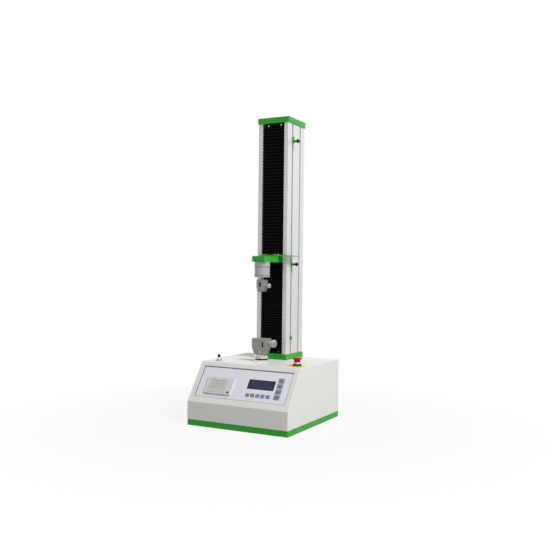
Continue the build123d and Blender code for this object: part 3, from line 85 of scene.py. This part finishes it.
class Signal:
    """One output socket of a shader node."""

    def __init__(self, look, socket):
        self.look, self.socket = look, socket

    def math(self, operation, *values):
        return self.look.node("ShaderNodeMath", {"operation": operation}, self, *values)

    def __add__(self, other):
        return self.math("ADD", other)

    __radd__ = __add__

    def __mul__(self, other):
        return self.math("MULTIPLY", other)

    __rmul__ = __mul__

    def __sub__(self, other):
        return self.math("SUBTRACT", other)

    def __rsub__(self, other):
        return self.look.node("ShaderNodeMath", {"operation": "SUBTRACT"}, other, self)

    def between(self, low, high):
        """1 where the signal lies between two numbers, and 0 elsewhere."""
        return self.math("GREATER_THAN", low) * self.math("LESS_THAN", high)

    def step(self, low, high):
        """0 below low, 1 above high, smooth between."""
        settings = {"interpolation_type": "SMOOTHSTEP", "clamp": True}
        return self.look.node("ShaderNodeMapRange", settings, self, low, high, 0.0, 1.0)


print("signals know + - * between step")


# %% Looks
class Look:
    """A material and the Principled shader in it."""

    def __init__(self, name, color, roughness=0.5, metallic=0.0, **constants):
        self.material = bpy.data.materials.new(name)
        self.material.use_nodes = True
        self.tree = self.material.node_tree
        self.shader = self.tree.nodes["Principled BSDF"]
        self.set("Base Color", color)
        self.set("Roughness", roughness)
        self.set("Metallic", metallic)
        for key, value in constants.items():
            self.set(key.replace("_", " "), value)

    def set(self, name, value):
        self.link(value, self.shader.inputs[name])

    def link(self, value, socket):
        if isinstance(value, Signal):
            self.tree.links.new(value.socket, socket)
        else:
            socket.default_value = value

    def node(self, kind, settings, *values, output=0):
        """Any node: its settings first, then the values or links of its sockets in order."""
        made = self.tree.nodes.new(kind)
        for key, value in settings.items():
            setattr(made, key, value)
        for socket, value in zip(made.inputs, values):
            if value is not None:
                self.link(value, socket)
        return Signal(self, made.outputs[output])

    def place(self):
        """Object coordinates, the node's fourth output: metres in the frame."""
        return self.node("ShaderNodeTexCoord", {}, output=3)

    def axes(self):
        """The three coordinates as signals."""
        split = self.tree.nodes.new("ShaderNodeSeparateXYZ")
        self.link(self.place(), split.inputs[0])
        return [Signal(self, split.outputs[n]) for n in range(3)]

    def noise(self, scale, detail=2.0, rough=0.5, stretch=(1, 1, 1)):
        """Soft noise from 0 to 1. Stretch below 1 draws the pattern out along that axis."""
        spot = self.node("ShaderNodeVectorMath", {"operation": "MULTIPLY"}, self.place(), Vector(stretch))
        made = self.tree.nodes.new("ShaderNodeTexNoise")
        self.link(spot, made.inputs["Vector"])
        made.inputs["Scale"].default_value = scale
        made.inputs["Detail"].default_value = detail
        made.inputs["Roughness"].default_value = rough
        return Signal(self, made.outputs["Fac"])

    def mix(self, amount, first, second):
        """A colour between two, by an amount from 0 to 1. Sockets 6 and 7 are the node's two colours."""
        made = self.tree.nodes.new("ShaderNodeMix")
        made.data_type = "RGBA"
        self.link(amount, made.inputs["Factor"])
        self.link(first, made.inputs[6])
        self.link(second, made.inputs[7])
        return Signal(self, made.outputs[2])

    def bump(self, height, strength, depth):
        made = self.tree.nodes.new("ShaderNodeBump")
        made.inputs["Strength"].default_value = strength
        made.inputs["Distance"].default_value = depth
        self.link(height, made.inputs["Height"])
        self.set("Normal", Signal(self, made.outputs["Normal"]))


print("shader helpers ready")

# %% [markdown]
# The housing is sheet metal with a satin powder coat. Close up, a powder coat has a shallow ripple like
# orange peel, its gloss varies a little, and here the coat is a little darker towards the bottom. The ripple
# could be a modelled surface, but at a few hundredths of a millimetre it only bends the light, so a bump
# does it.


# %% Powder coat of the housing
def powder_coat(name, color, dusty):
    ripple_scale, patch_scale, darkening_height = 520, 9, 0.12
    look = Look(name, color, Specular_IOR_Level=0.45)
    ripple = look.noise(ripple_scale)
    patches = look.noise(patch_scale, 3.0)
    # low is 1 at the floor and 0 from this height up: the coat is darker towards the bottom.
    low = 1 - look.axes()[2].step(0.0, darkening_height)
    look.set("Base Color", look.mix(patches * 0.16 + low * 0.18, color, dusty))
    look.set("Roughness", 0.36 + patches * 0.12)
    look.bump(ripple, strength=0.12, depth=0.0004)
    return look.material


cream = powder_coat("cream_powder_coat", srgb(233, 232, 228), srgb(217, 215, 207))
print("coat", cream.name)

# %% [markdown]
# The base, the foot, the cap, the arm and the stops are green. Their paint is glossier than the housing's:
# a coloured layer with a thin clear one over it. The clear coat is a second, sharper reflection, which the
# shader has a socket for, so the pale room shows on faces that are seen at a slant.


# %% Enamel of the green pieces
def enamel(name, color, deep):
    """Glossy paint under a thin clear coat, a little deeper in tone in random patches."""
    look = Look(name, color, Coat_Weight=0.35, Coat_Roughness=0.12, Specular_IOR_Level=0.35)
    patches = look.noise(14, 3.0)
    ripple = look.noise(300)
    look.set("Base Color", look.mix(patches * 0.35, color, deep))
    look.set("Roughness", 0.34 + patches * 0.14)
    look.bump(ripple, strength=0.10, depth=0.0004)
    return look.material


green = enamel("green_enamel", srgb(24, 164, 22), srgb(16, 144, 16))
print("paint", green.name)

# %% [markdown]
# Metals. Extruded aluminium shows fine lines along its length, turned pieces show rings, and ground
# steel shows short scratches. Each is noise drawn out along one axis and used for roughness and bump.
# One function serves all of them, because only the direction, the colour and the gloss differ.


# %% Lined metals
tool_mark_depth = 0.00008
along_z, rings, along_x = (1, 1, 0.02), (0.02, 0.02, 1), (0.02, 1, 1)


def lined_metal(name, color, shade, stretch, scale, roughness, metallic=1.0):
    """Metal with the marks of its making: noise drawn out along the way the tool went."""
    look = Look(name, color, roughness, metallic)
    lines = look.noise(scale, 3.0, 0.6, stretch)
    patches = look.noise(20)
    look.set("Base Color", look.mix(lines * 0.5 + patches * 0.2, color, shade))
    look.set("Roughness", roughness - 0.06 + lines * 0.12)
    look.bump(lines, strength=0.25, depth=tool_mark_depth)
    return look.material


column_metal = lined_metal("anodised_extrusion", srgb(230, 230, 229), srgb(217, 217, 215), along_z, 900,
                           roughness=0.42, metallic=0.25)
turned_steel = lined_metal("turned_steel", srgb(190, 189, 186), srgb(150, 149, 146), rings, 1400,
                           roughness=0.30, metallic=0.8)
ground_steel = lined_metal("ground_steel", srgb(172, 171, 168), srgb(138, 137, 134), along_x, 900,
                           roughness=0.38, metallic=0.55)
polished_steel = lined_metal("polished_steel", srgb(222, 221, 219), srgb(200, 199, 197), rings, 900,
                             roughness=0.14)
plain_aluminium = lined_metal("machined_aluminium", srgb(206, 206, 203), srgb(182, 182, 179), along_x, 700,
                              roughness=0.36, metallic=0.8)
print("metals ready")

# %% [markdown]
# Two turned pieces carry marks at known heights. The load cell has two grooves that hold shadow, and the
# post of the lower grip has one deep groove. A groove's shadow could be left to the lamps, but these are
# narrower than a lamp's soft edge can show. Height alone tells the places apart, so a mask on Z does it.

# %% Turned pieces with grooves
cell_grooves = [(0.5325, 0.5345), (0.5038, 0.5052)]
post_groove = [(0.2113, 0.2161)]
groove_edge = 0.0002


def grooved(name, color, groove_color, grooves, roughness, metallic):
    """A turned piece whose grooves, given as pairs of heights in metres, are darker than the rest."""
    look = Look(name, color, roughness, metallic)
    height = look.axes()[2]
    lines = look.noise(1400, 3.0, 0.6, rings)
    shaded = 0.0
    for low, high in grooves:
        above_low = height.step(low - groove_edge, low + groove_edge)
        above_high = height.step(high - groove_edge, high + groove_edge)
        shaded = above_low * (1 - above_high) + shaded
    dull = tuple(v * 0.8 for v in color[:3]) + (1.0,)
    look.set("Base Color", look.mix(shaded, look.mix(lines * 0.5, color, dull), groove_color))
    look.set("Roughness", roughness - 0.05 + lines * 0.1 + shaded * 0.3)
    look.bump(lines, strength=0.25, depth=tool_mark_depth)
    return look.material


cell_metal = grooved("load_cell_metal", srgb(188, 188, 187), srgb(62, 62, 62), cell_grooves, 0.34, 0.35)
post_metal = grooved("post_metal", srgb(232, 231, 229), srgb(16, 16, 16), post_groove, 0.16, 0.85)
print("grooved metals ready")

# %% [markdown]
# The sensor socket on the housing's top is a plated dome with a black plug above it. Both are in one node,
# so one material has to hold two finishes. A mask on height switches colour and metal at the plug's foot.

# %% Socket and plug
plug_foot = 0.2186


def plug_and_nut():
    plated, tarnished, black = srgb(206, 205, 202), srgb(178, 177, 174), srgb(24, 24, 25)
    look = Look("plated_socket", plated)
    plug = look.axes()[2].step(plug_foot, plug_foot + 0.0006)
    grain = look.noise(1800)
    look.set("Base Color", look.mix(plug, look.mix(grain * 0.4, plated, tarnished), black))
    look.set("Metallic", 1 - plug)
    look.set("Roughness", 0.16 + plug * 0.26)
    look.bump(grain, strength=0.1, depth=0.00004)
    return look.material


socket_metal = plug_and_nut()
print("socket", socket_metal.name)

# %% [markdown]
# Plastics, films and paper. A moulded plastic piece takes the fine spark-eroded grain of its mould, and
# gets a little paler where hands rub it. A film is the same with a much shallower grain. Grain could be a
# picture wrapped round the piece; noise needs no unwrapping and looks the same from every side.


# %% Plastics, films and paper
def moulded(name, color, roughness, grain, depth, **constants):
    look = Look(name, color, roughness, **constants)
    fine = look.noise(grain)
    wear = look.noise(30, 3.0)
    pale = tuple(min(1.0, v * 1.25 + 0.01) for v in color[:3]) + (1.0,)
    look.set("Base Color", look.mix(wear * 0.4, color, pale))
    look.set("Roughness", roughness - 0.05 + wear * 0.1)
    look.bump(fine, strength=0.2, depth=depth)
    return look.material


black_plastic = moulded("black_plastic", srgb(34, 34, 36), 0.45, 2200, 0.00008)
glossy_black = moulded("glossy_black", srgb(16, 16, 18), 0.30, 1200, 0.00003, Specular_IOR_Level=0.3)
printer_plastic = moulded("printer_plastic", srgb(216, 211, 210), 0.46, 2000, 0.00006)
# The door is the housing's plastic painted a few levels darker: painted shade for the shade the door lies
# in.
door_shaded_plastic = moulded("printer_door_painted_shade", srgb(207, 202, 201), 0.48, 2000, 0.00006)
red_plastic = moulded("red_plastic", srgb(194, 14, 12), 0.42, 1600, 0.00003, Specular_IOR_Level=0.3)
ring_plastic = moulded("pale_plastic", srgb(240, 240, 238), 0.35, 1600, 0.00003)
key_plastic = moulded("key_plastic", srgb(126, 132, 154), 0.45, 1800, 0.00005)
mark_plastic = moulded("key_mark", srgb(66, 72, 92), 0.45, 1800, 0.00003)
yellow_film = moulded("yellow_film", srgb(244, 208, 30), 0.38, 1200, 0.00003, Specular_IOR_Level=0.3)
overlay_film = moulded("overlay_film", srgb(227, 226, 237), 0.40, 2600, 0.00003)
# Dark grey for the ring round the panel overlay: painted shade for the gap there.
painted_gap_shade = moulded("painted_gap_shade", srgb(58, 60, 58), 0.6, 1200, 0.00004)
paper_white = moulded("paper", srgb(240, 239, 232), 0.85, 1500, 0.00005)
board_green = moulded("circuit_board", srgb(20, 92, 56), 0.4, 900, 0.00003)
print("plastics ready")

# %% [markdown]
# The display window is one dark pane, and the display shows through it as a blue field inside a black
# border. Two panes could be modelled, but the real one is a single flat sheet, so the field is drawn by
# place: u runs across the panel, and v up its slope.

# %% Display window
slope_run, slope_rise = 0.088, 0.126
slope_length = sqrt(slope_run**2 + slope_rise**2)
slope_foot = Vector((0, -0.2, 0.08))
display_u, display_v = 0.0655, 0.0845
half_width, half_height = 0.0425, 0.0125


def slope_v(look):
    """How far up the slope a point is, in metres."""
    y, z = look.axes()[1:]
    return (y - slope_foot.y) * (slope_run / slope_length) + (z - slope_foot.z) * (slope_rise / slope_length)


def display_look():
    look = Look("display_window", srgb(16, 16, 20), 0.3, Coat_Weight=0.25, Coat_Roughness=0.06,
                Specular_IOR_Level=0.2)
    across = look.axes()[0].between(display_u - half_width, display_u + half_width)
    field = across * slope_v(look).between(display_v - half_height, display_v + half_height)
    glow = look.noise(25, 1.0)
    blue = look.mix(glow * 0.6, srgb(36, 42, 80), srgb(29, 34, 67))
    look.set("Base Color", look.mix(field, srgb(30, 32, 44), blue))
    return look.material


display = display_look()
print("display ready")

# %% [markdown]
# Every solid of the model gets one finish. The list could be a loop that guesses from names; written out
# by material it reads like a finishing plan for the workshop, and the print shows what was forgotten. The
# two covers are left out on purpose, because finer pieces take their place below.

# %% Give every solid its finish
row_keys = [f"row_key_{n}" for n in range(1, 6)]
side_keys = [f"side_key_{n}" for n in range(1, 5)]
finishes = {
    cream: ["casing", "back_panel", "control_panel"],
    green: ["base_plate", "column_foot", "column_cap", "crosshead_arm", "trip_finger",
            "upper_stop", "middle_stop", "lower_stop"],
    column_metal: ["column_profile"],
    cell_metal: ["load_cell"],
    post_metal: ["grip_post"],
    socket_metal: ["sensor_gland"],
    turned_steel: ["ball_screw", "ball_nut", "upper_grip_screw", "lower_grip_screw", "limit_rod"],
    ground_steel: ["pedestal", "upper_grip_body", "upper_grip_jaw", "lower_grip_body", "lower_grip_jaw",
                   "guide_rails", "rail_bearings"],
    polished_steel: ["crosshead_screws", "machine_screws"],
    plain_aluminium: ["power_supply", "bearing_blocks", "carriage", "shaft_coupling"],
    black_plastic: ["rear_sockets", "power_rocker", "feed_button", "motor", "estop_collar"],
    printer_plastic: ["printer_housing"],
    door_shaded_plastic: ["printer_door"],
    glossy_black: ["upper_stop_knob", "middle_stop_knob"],
    red_plastic: ["estop_head"],
    yellow_film: ["estop_legend"],
    ring_plastic: ["estop_plunger"],
    key_plastic: row_keys + side_keys,
    overlay_film: ["panel_overlay"],
    paper_white: ["paper_roll"],
    board_green: ["display_board"],
    display: ["lcd_window"],
}
for material, names in finishes.items():
    for name in names:
        nodes[name].data.materials.clear()
        nodes[name].data.materials.append(material)
finished = {name for names in finishes.values() for name in names}
print("solids with no finish yet:", sorted(set(nodes) - finished))

# %% [markdown]
# New pieces are drawn as a bmesh and then written as an object. Three small helpers do what they share:
# one writes the object, one also gives it its body and material slot, and one lifts flat faces into a slab.


# %% From bmesh to object
def as_object(shape, name, material):
    """Write a bmesh as an object with one finish."""
    mesh = bpy.data.meshes.new(name)
    shape.to_mesh(mesh)
    shape.free()
    mesh.materials.append(material)
    piece = bpy.data.objects.new(name, mesh)
    bpy.context.collection.objects.link(piece)
    return piece


def finish_piece(shape, name, material, body):
    """Write a bmesh as an object that moves with a body."""
    bmesh.ops.recalc_face_normals(shape, faces=shape.faces[:])
    piece = as_object(shape, name, material)
    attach(piece, body)
    return piece


def lift_faces(shape, height):
    """Turn flat faces into a slab of the given height."""
    grown = bmesh.ops.extrude_face_region(shape, geom=shape.faces[:])["geom"]
    top = [part for part in grown if isinstance(part, bmesh.types.BMVert)]
    bmesh.ops.translate(shape, verts=top, vec=(0, 0, height))


print("piece helpers ready")

# %% [markdown]
# The pleated covers are the piece that a viewer notices first. The real one is a coated cloth that is
# folded to and fro. Its folds are dull and nearly black, and their tips carry a painted highlight, a paler
# colour varied by wear noise. How far forward a point lies tells tip from valley, so a mask on Y places it.

# %% Cloth of the covers
column_x = -0.015
cover_width, cover_peak, fold_depth = 0.087, 0.063, 0.012
cover_valley = cover_peak + fold_depth


def cover_rubber():
    clean, dusty, tip_highlight = srgb(12, 10, 12), srgb(20, 18, 20), srgb(36, 34, 36)
    look = Look("cover_cloth", clean, Specular_IOR_Level=0.12)
    weave = look.noise(2600)
    wear = look.noise(40, 3.0)
    tip = 1 - look.axes()[1].step(cover_peak, cover_peak + 0.0035)
    worn = look.mix(wear * 0.5, clean, dusty)
    # The fold tips are painted paler towards the front: a painted highlight, varied by the wear noise.
    look.set("Base Color", look.mix(tip * (0.2 + wear * 0.3), worn, tip_highlight))
    look.set("Roughness", 0.72 + wear * 0.16 - tip * 0.06)
    look.bump(weave, strength=0.25, depth=0.0001)
    return look.material


cover_material = cover_rubber()
print("cloth", cover_material.name)

# %% [markdown]
# A cover could be a block with a bump, but its outline against the column is a row of folds. So it is one
# sheet: a fold line starts as one vertex that is extruded step by step, the line is extruded across, and
# the sheet gets its thickness.

# %% One length of cover
cover_sheet = 0.0006
tip_setback, tip_share = 0.0012, 0.06


def fold_points(z0, z1, folds):
    """The side view of one length of cover, valley to valley, with softly rounded tips."""
    pitch = (z1 - z0) / folds
    points = [(cover_valley, z0)]
    for n in range(folds):
        low = z0 + n * pitch
        points += [
            (cover_peak + tip_setback, low + pitch * (0.5 - tip_share)),
            (cover_peak, low + pitch * 0.5),
            (cover_peak + tip_setback, low + pitch * (0.5 + tip_share)),
            (cover_valley, low + pitch),
        ]
    return points


def cover_length(name, z0, z1, folds):
    shape = bmesh.new()
    points = fold_points(z0, z1, folds)
    left = column_x - cover_width / 2
    tip = bmesh.ops.create_vert(shape, co=(left, *points[0]))["vert"][0]
    for y, z in points[1:]:
        tip = bmesh.ops.extrude_vert_indiv(shape, verts=[tip])["verts"][0]
        tip.co = (left, y, z)
    across = bmesh.ops.extrude_edge_only(shape, edges=shape.edges[:])["geom"]
    moved = [part for part in across if isinstance(part, bmesh.types.BMVert)]
    bmesh.ops.translate(shape, verts=moved, vec=(cover_width, 0, 0))
    bmesh.ops.recalc_face_normals(shape, faces=shape.faces[:])
    bmesh.ops.solidify(shape, geom=shape.faces[:], thickness=cover_sheet)
    bmesh.ops.recalc_face_normals(shape, faces=shape.faces[:])
    return as_object(shape, name, cover_material)


print("points in one fold", len(fold_points(0, 1, 1)) - 1)

# %% [markdown]
# When the crosshead moves, all the folds of a cover close up together. A smooth S-shaped share of the
# motion between two bodies would alone crowd the folds at the ends. So a cover is cut into lengths, and for
# each the stretch of the S that would give it its even share is worked out, with a start and end that reach
# beyond the piece itself. The lengths are not tied to either body, so they stay where they are drawn.

# %% Covers cut into lengths
foot_top, column_top, arm_under, root_top = 0.226, 1.046, 0.551, 0.5775
flange_height = 0.013
upper_folds, lower_folds = 40, 36


def place_on_s(share):
    """Where along the S curve (3t^2 - 2t^3) the given share is reached."""
    return 0.5 - sin(asin(1 - 2 * share) / 3)


def cuts(folds):
    """After which folds a cover is cut: short lengths at both ends, where the S bends most."""
    near = [0, 1, 2, 4, 7]
    return near + [folds - n for n in reversed(near)]


def pleats(prefix, node, z_fixed, z_moving, folds):
    """A cover from its fixed end to its moving end, cut into lengths."""
    places = cuts(folds)
    for n, (first, last) in enumerate(zip(places[:-1], places[1:])):
        share0, share1 = first / folds, last / folds
        z0 = z_fixed + (z_moving - z_fixed) * share0
        z1 = z_fixed + (z_moving - z_fixed) * share1
        piece = cover_length(f"{prefix}_{n + 1}", min(z0, z1), max(z0, z1), last - first)
        t0, t1 = place_on_s(share0), place_on_s(share1)
        reach = (z1 - z0) / (t1 - t0)
        start = z0 - t0 * reach
        start + reach
        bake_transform(piece)
        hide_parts(node)
    print(node, "lengths", len(places) - 1)


pleats("upper_pleats", "upper_cover", column_top - flange_height, root_top, upper_folds)
pleats("lower_pleats", "lower_cover", foot_top + flange_height, arm_under, lower_folds)

# %% [markdown]
# The stiff flange at the fixed end of each cover is a plain strip with rounded edges, clamped by two
# screws. The screw heads are solids of the model. A cube that is moved to size and bevelled is all it
# needs, and the bevel gives its edges the thin line of light that a real strip has.

# %% Cover flanges
flange_front_lap, flange_back_lap, flange_edge = 0.0012, 0.003, 0.0005


def plate(name, low, high, edge, material):
    """A flat piece with softened edges, from a cube that is moved to size and bevelled."""
    shape = bmesh.new()
    bmesh.ops.create_cube(shape, size=1.0)
    bmesh.ops.scale(shape, verts=shape.verts[:], vec=high - low)
    bmesh.ops.translate(shape, verts=shape.verts[:], vec=(low + high) / 2)
    bmesh.ops.bevel(shape, geom=shape.edges[:], offset=edge, segments=3, profile=0.5, affect="EDGES",
                    material=-1)
    return as_object(shape, name, material)


for name, node, z0 in (("upper_cover_flange", "upper_cover", column_top - flange_height),
                       ("lower_cover_flange", "lower_cover", foot_top)):
    low = Vector((column_x - cover_width / 2, cover_valley - flange_front_lap, z0))
    high = Vector((column_x + cover_width / 2, cover_valley + flange_back_lap, z0 + flange_height))
    flange = plate(name, low, high, flange_edge, cover_material)
    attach(flange, "machine")
    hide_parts(node)
print("cover flanges made")

# %% [markdown]
# Small pieces of the sloped panel are drawn flat and then laid on the slope. Each could be turned by hand,
# but one matrix does it for all of them: its three columns run across the panel, up the slope, and out of
# it. A piece that is drawn in those three measures lands in its place.

# %% The panel's own axes
up_slope = Vector((0, slope_run, slope_rise)) / slope_length
out_of_slope = Vector((0, -slope_rise, slope_run)) / slope_length
slope_axes = Matrix((Vector((1, 0, 0)), up_slope, out_of_slope)).transposed()
slope_frame = Matrix.Translation(slope_foot) @ slope_axes.to_4x4()


def lay_on_slope(shape, u, v, depth):
    """Move a shape that was drawn round its own middle to a place on the slope."""
    place = slope_frame @ Matrix.Translation((u, v, -depth))
    bmesh.ops.transform(shape, matrix=place, verts=shape.verts[:])


print("slope rises", round(up_slope.z, 3), "for", round(up_slope.y, 3))

# %% [markdown]
# A dark ring runs round the overlay, where the sheet metal's cut-out ends: painted shade for the narrow gap
# there, which on the real machine shows as a thin dark line. It could be a curve with a small section, but
# the ring lies flat and has square corners inside. So it starts as one flat rectangle: its corners are
# rounded, an inset parts the ring from the middle, the middle is deleted, and the ring that is left gets its
# height.

# %% Painted shade round the panel
panel_width, panel_length, panel_middle = 0.344, 0.11549, 0.079245
gap_shade_width, gap_shade_height, gap_shade_corner, gap_shade_play = 0.0018, 0.0008, 0.002, 0.0001
overlay_top = 0.0032


# The ring is painted shade: a dark strip laid in the gap round the overlay.
def panel_gap_shade():
    shape = bmesh.new()
    bmesh.ops.create_grid(shape, x_segments=1, y_segments=1, size=0.5)
    bmesh.ops.scale(shape, verts=shape.verts[:], vec=(panel_width - gap_shade_play, panel_length - gap_shade_play, 1))
    bmesh.ops.bevel(shape, geom=shape.verts[:], offset=gap_shade_corner, segments=5, profile=0.5,
                    affect="VERTICES", material=-1)
    inner = shape.faces[:]
    bmesh.ops.inset_region(shape, faces=inner, thickness=gap_shade_width, use_boundary=True,
                           use_even_offset=True)
    bmesh.ops.delete(shape, geom=inner, context="FACES")
    lift_faces(shape, gap_shade_height)
    lay_on_slope(shape, 0, panel_middle, overlay_top)
    return finish_piece(shape, "panel_gap_shade", painted_gap_shade, "machine")


print("seal faces", len(panel_gap_shade().data.polygons))

# %% [markdown]
# Each key carries a plain sign: arrows, bars, a square and a ring, as such keys have. A sign could be
# painted with a mask, but a printed sign has a crisp edge at any distance when it is a mesh. It is a flat
# disc of three, four or many corners, a tenth of a millimetre high, and it moves with its key.

# %% Signs on the keys
key_top = 0.0023
sign_height, sign_lift = 0.00012, 0.00004
row_first_u, row_pitch, row_v = 0.026, 0.0189, 0.045
side_u, side_first_v, side_pitch = 0.134, 0.105, 0.0198
round_corners = 24


def sign(name, corners, radius, spin, stretch, u, v, body):
    shape = bmesh.new()
    bmesh.ops.create_circle(shape, cap_ends=True, segments=corners, radius=radius)
    turned = Matrix.Rotation(radians(spin), 3, "Z")
    bmesh.ops.rotate(shape, verts=shape.verts[:], cent=(0, 0, 0), matrix=turned)
    bmesh.ops.scale(shape, verts=shape.verts[:], vec=(*stretch, 1))
    lift_faces(shape, sign_height)
    lay_on_slope(shape, u, v, key_top + sign_lift)
    finish_piece(shape, name, mark_plastic, body)


# corners, radius, turn in degrees, stretch across and up
row_signs = [
    (3, 0.0030, 180, (1, 1)),
    (3, 0.0030, 0, (1, 1)),
    (4, 0.0034, 45, (1, 0.28)),
    (4, 0.0034, 45, (0.28, 1)),
    (4, 0.0030, 0, (1, 1)),
]
side_signs = [
    (3, 0.0042, 90, (1, 1)),
    (4, 0.0042, 45, (1, 1)),
    (3, 0.0042, -90, (1, 1)),
    (round_corners, 0.0036, 0, (1, 1)),
]
for n, form in enumerate(row_signs):
    sign(f"row_sign_{n + 1}", *form, row_first_u + n * row_pitch, row_v, f"row_press_{n + 1}")
for n, form in enumerate(side_signs):
    sign(f"side_sign_{n + 1}", *form, side_u, side_first_v - n * side_pitch, f"side_press_{n + 1}")
print("signs", len(row_signs) + len(side_signs))

# %% [markdown]
# The socket screws of the crosshead have a hexagon hole in the head. The hole could be cut into the head,
# but its floor lies in shadow on the real screw, and a dark six-cornered disc just above the head reads
# the same at any distance from which the whole machine is seen.

# %% Hexagon holes of the crosshead screws
dark_hole = moulded("screw_hole", srgb(30, 30, 30), 0.7, 1500, 0.00003)
root_screw_offsets = (-0.0312, -0.0192, 0.0192, 0.0312)
root_screw_y, root_screw_top = 0.050, 0.57974
hole_radius, hole_height = 0.0014, 0.0001
for n, offset in enumerate(root_screw_offsets):
    shape = bmesh.new()
    bmesh.ops.create_circle(shape, cap_ends=True, segments=6, radius=hole_radius)
    lift_faces(shape, hole_height)
    bmesh.ops.translate(shape, verts=shape.verts[:], vec=(column_x + offset, root_screw_y, root_screw_top))
    finish_piece(shape, f"screw_hole_{n + 1}", dark_hole, "crosshead")
print("screw holes", len(root_screw_offsets))

# %% [markdown]
# The studio starts with a bright room. The camera, reflections and anything seen through glass meet plain
# white, and the surfaces get a softer light. One even background would do for both only if the object were
# overlit, so Light Path tells the kinds of ray apart.


# %% The room
def studio_world(room_light):
    """White for the camera, for reflections and through glass; a softer light on everything else."""
    world = bpy.data.worlds.new("studio")
    bpy.context.scene.world = world
    world.use_nodes = True
    tree = world.node_tree
    tree.nodes.clear()
    output = tree.nodes.new("ShaderNodeOutputWorld")
    blend = tree.nodes.new("ShaderNodeMixShader")
    room = tree.nodes.new("ShaderNodeBackground")
    white = tree.nodes.new("ShaderNodeBackground")
    for background, strength in ((room, room_light), (white, 1.0)):
        background.inputs["Color"].default_value = (1.0, 1.0, 1.0, 1.0)
        background.inputs["Strength"].default_value = strength
    path = tree.nodes.new("ShaderNodeLightPath")
    seen = tree.nodes.new("ShaderNodeMath")
    either = tree.nodes.new("ShaderNodeMath")
    seen.operation = either.operation = "MAXIMUM"
    tree.links.new(path.outputs["Is Camera Ray"], seen.inputs[0])
    tree.links.new(path.outputs["Is Glossy Ray"], seen.inputs[1])
    tree.links.new(seen.outputs[0], either.inputs[0])
    tree.links.new(path.outputs["Is Transmission Ray"], either.inputs[1])
    tree.links.new(either.outputs[0], blend.inputs["Fac"])
    tree.links.new(room.outputs[0], blend.inputs[1])
    tree.links.new(white.outputs[0], blend.inputs[2])
    tree.links.new(blend.outputs[0], output.inputs["Surface"])


studio_world(0.27)
print("room ready")

# %% [markdown]
# The floor is a pale diffuse sheet, so it keeps the machine's soft shadow. For the camera most of it is
# plain white, and all of it from a good metre out, so that no horizon shows behind the machine.

# %% Floor
floor_grey = (0.62, 0.62, 0.62, 1.0)
white_share, white_from, white_to = 0.88, 0.35, 1.1


def floor_material():
    look = Look("studio_floor", floor_grey, 1.0)
    tree = look.tree
    output = tree.nodes["Material Output"]
    tree.nodes.remove(look.shader)
    diffuse = tree.nodes.new("ShaderNodeBsdfDiffuse")
    white = tree.nodes.new("ShaderNodeEmission")
    blend = tree.nodes.new("ShaderNodeMixShader")
    path = tree.nodes.new("ShaderNodeLightPath")
    diffuse.inputs["Color"].default_value = floor_grey
    white.inputs["Strength"].default_value = 1.0
    x, y = look.axes()[:2]
    outside = (x * x + y * y).math("POWER", 0.5).step(white_from, white_to)
    share = Signal(look, path.outputs["Is Camera Ray"]) * (white_share + outside * (1 - white_share))
    tree.links.new(share.socket, blend.inputs["Fac"])
    tree.links.new(diffuse.outputs[0], blend.inputs[1])
    tree.links.new(white.outputs[0], blend.inputs[2])
    tree.links.new(blend.outputs[0], output.inputs["Surface"])
    return look.material


bpy.ops.mesh.primitive_plane_add(size=30.0, location=(0, 0, 0))
floor = bpy.context.object
floor.name = "studio_floor"
floor.data.materials.append(floor_material())
print("floor", floor.name)

# %% [markdown]
# Two lamps. A large soft one high on the right is where the photograph's light comes from: it makes the
# right sides pale and leaves the front a shade darker. A weak one from the left and behind keeps the far
# sides from going flat. Both are discs, because a disc gives round, plain highlights on turned metal.


# %% Lamps
def lamp(name, place, target, size, power):
    data = bpy.data.lights.new(name, "AREA")
    data.shape = "DISK"
    data.size, data.energy = size, power
    made = bpy.data.objects.new(name, data)
    bpy.context.collection.objects.link(made)
    made.location = place
    made.rotation_euler = (Vector(target) - Vector(place)).to_track_quat("-Z", "Y").to_euler()


lamp("key", place=(3.9, -1.14, 4.75), target=(0, 0, 0.45), size=2.4, power=305.0)
lamp("fill", place=(-2.6, 1.2, 2.0), target=(0, 0, 0.5), size=2.0, power=14.0)
bpy.context.scene.view_settings.view_transform = "Standard"
print("studio ready")
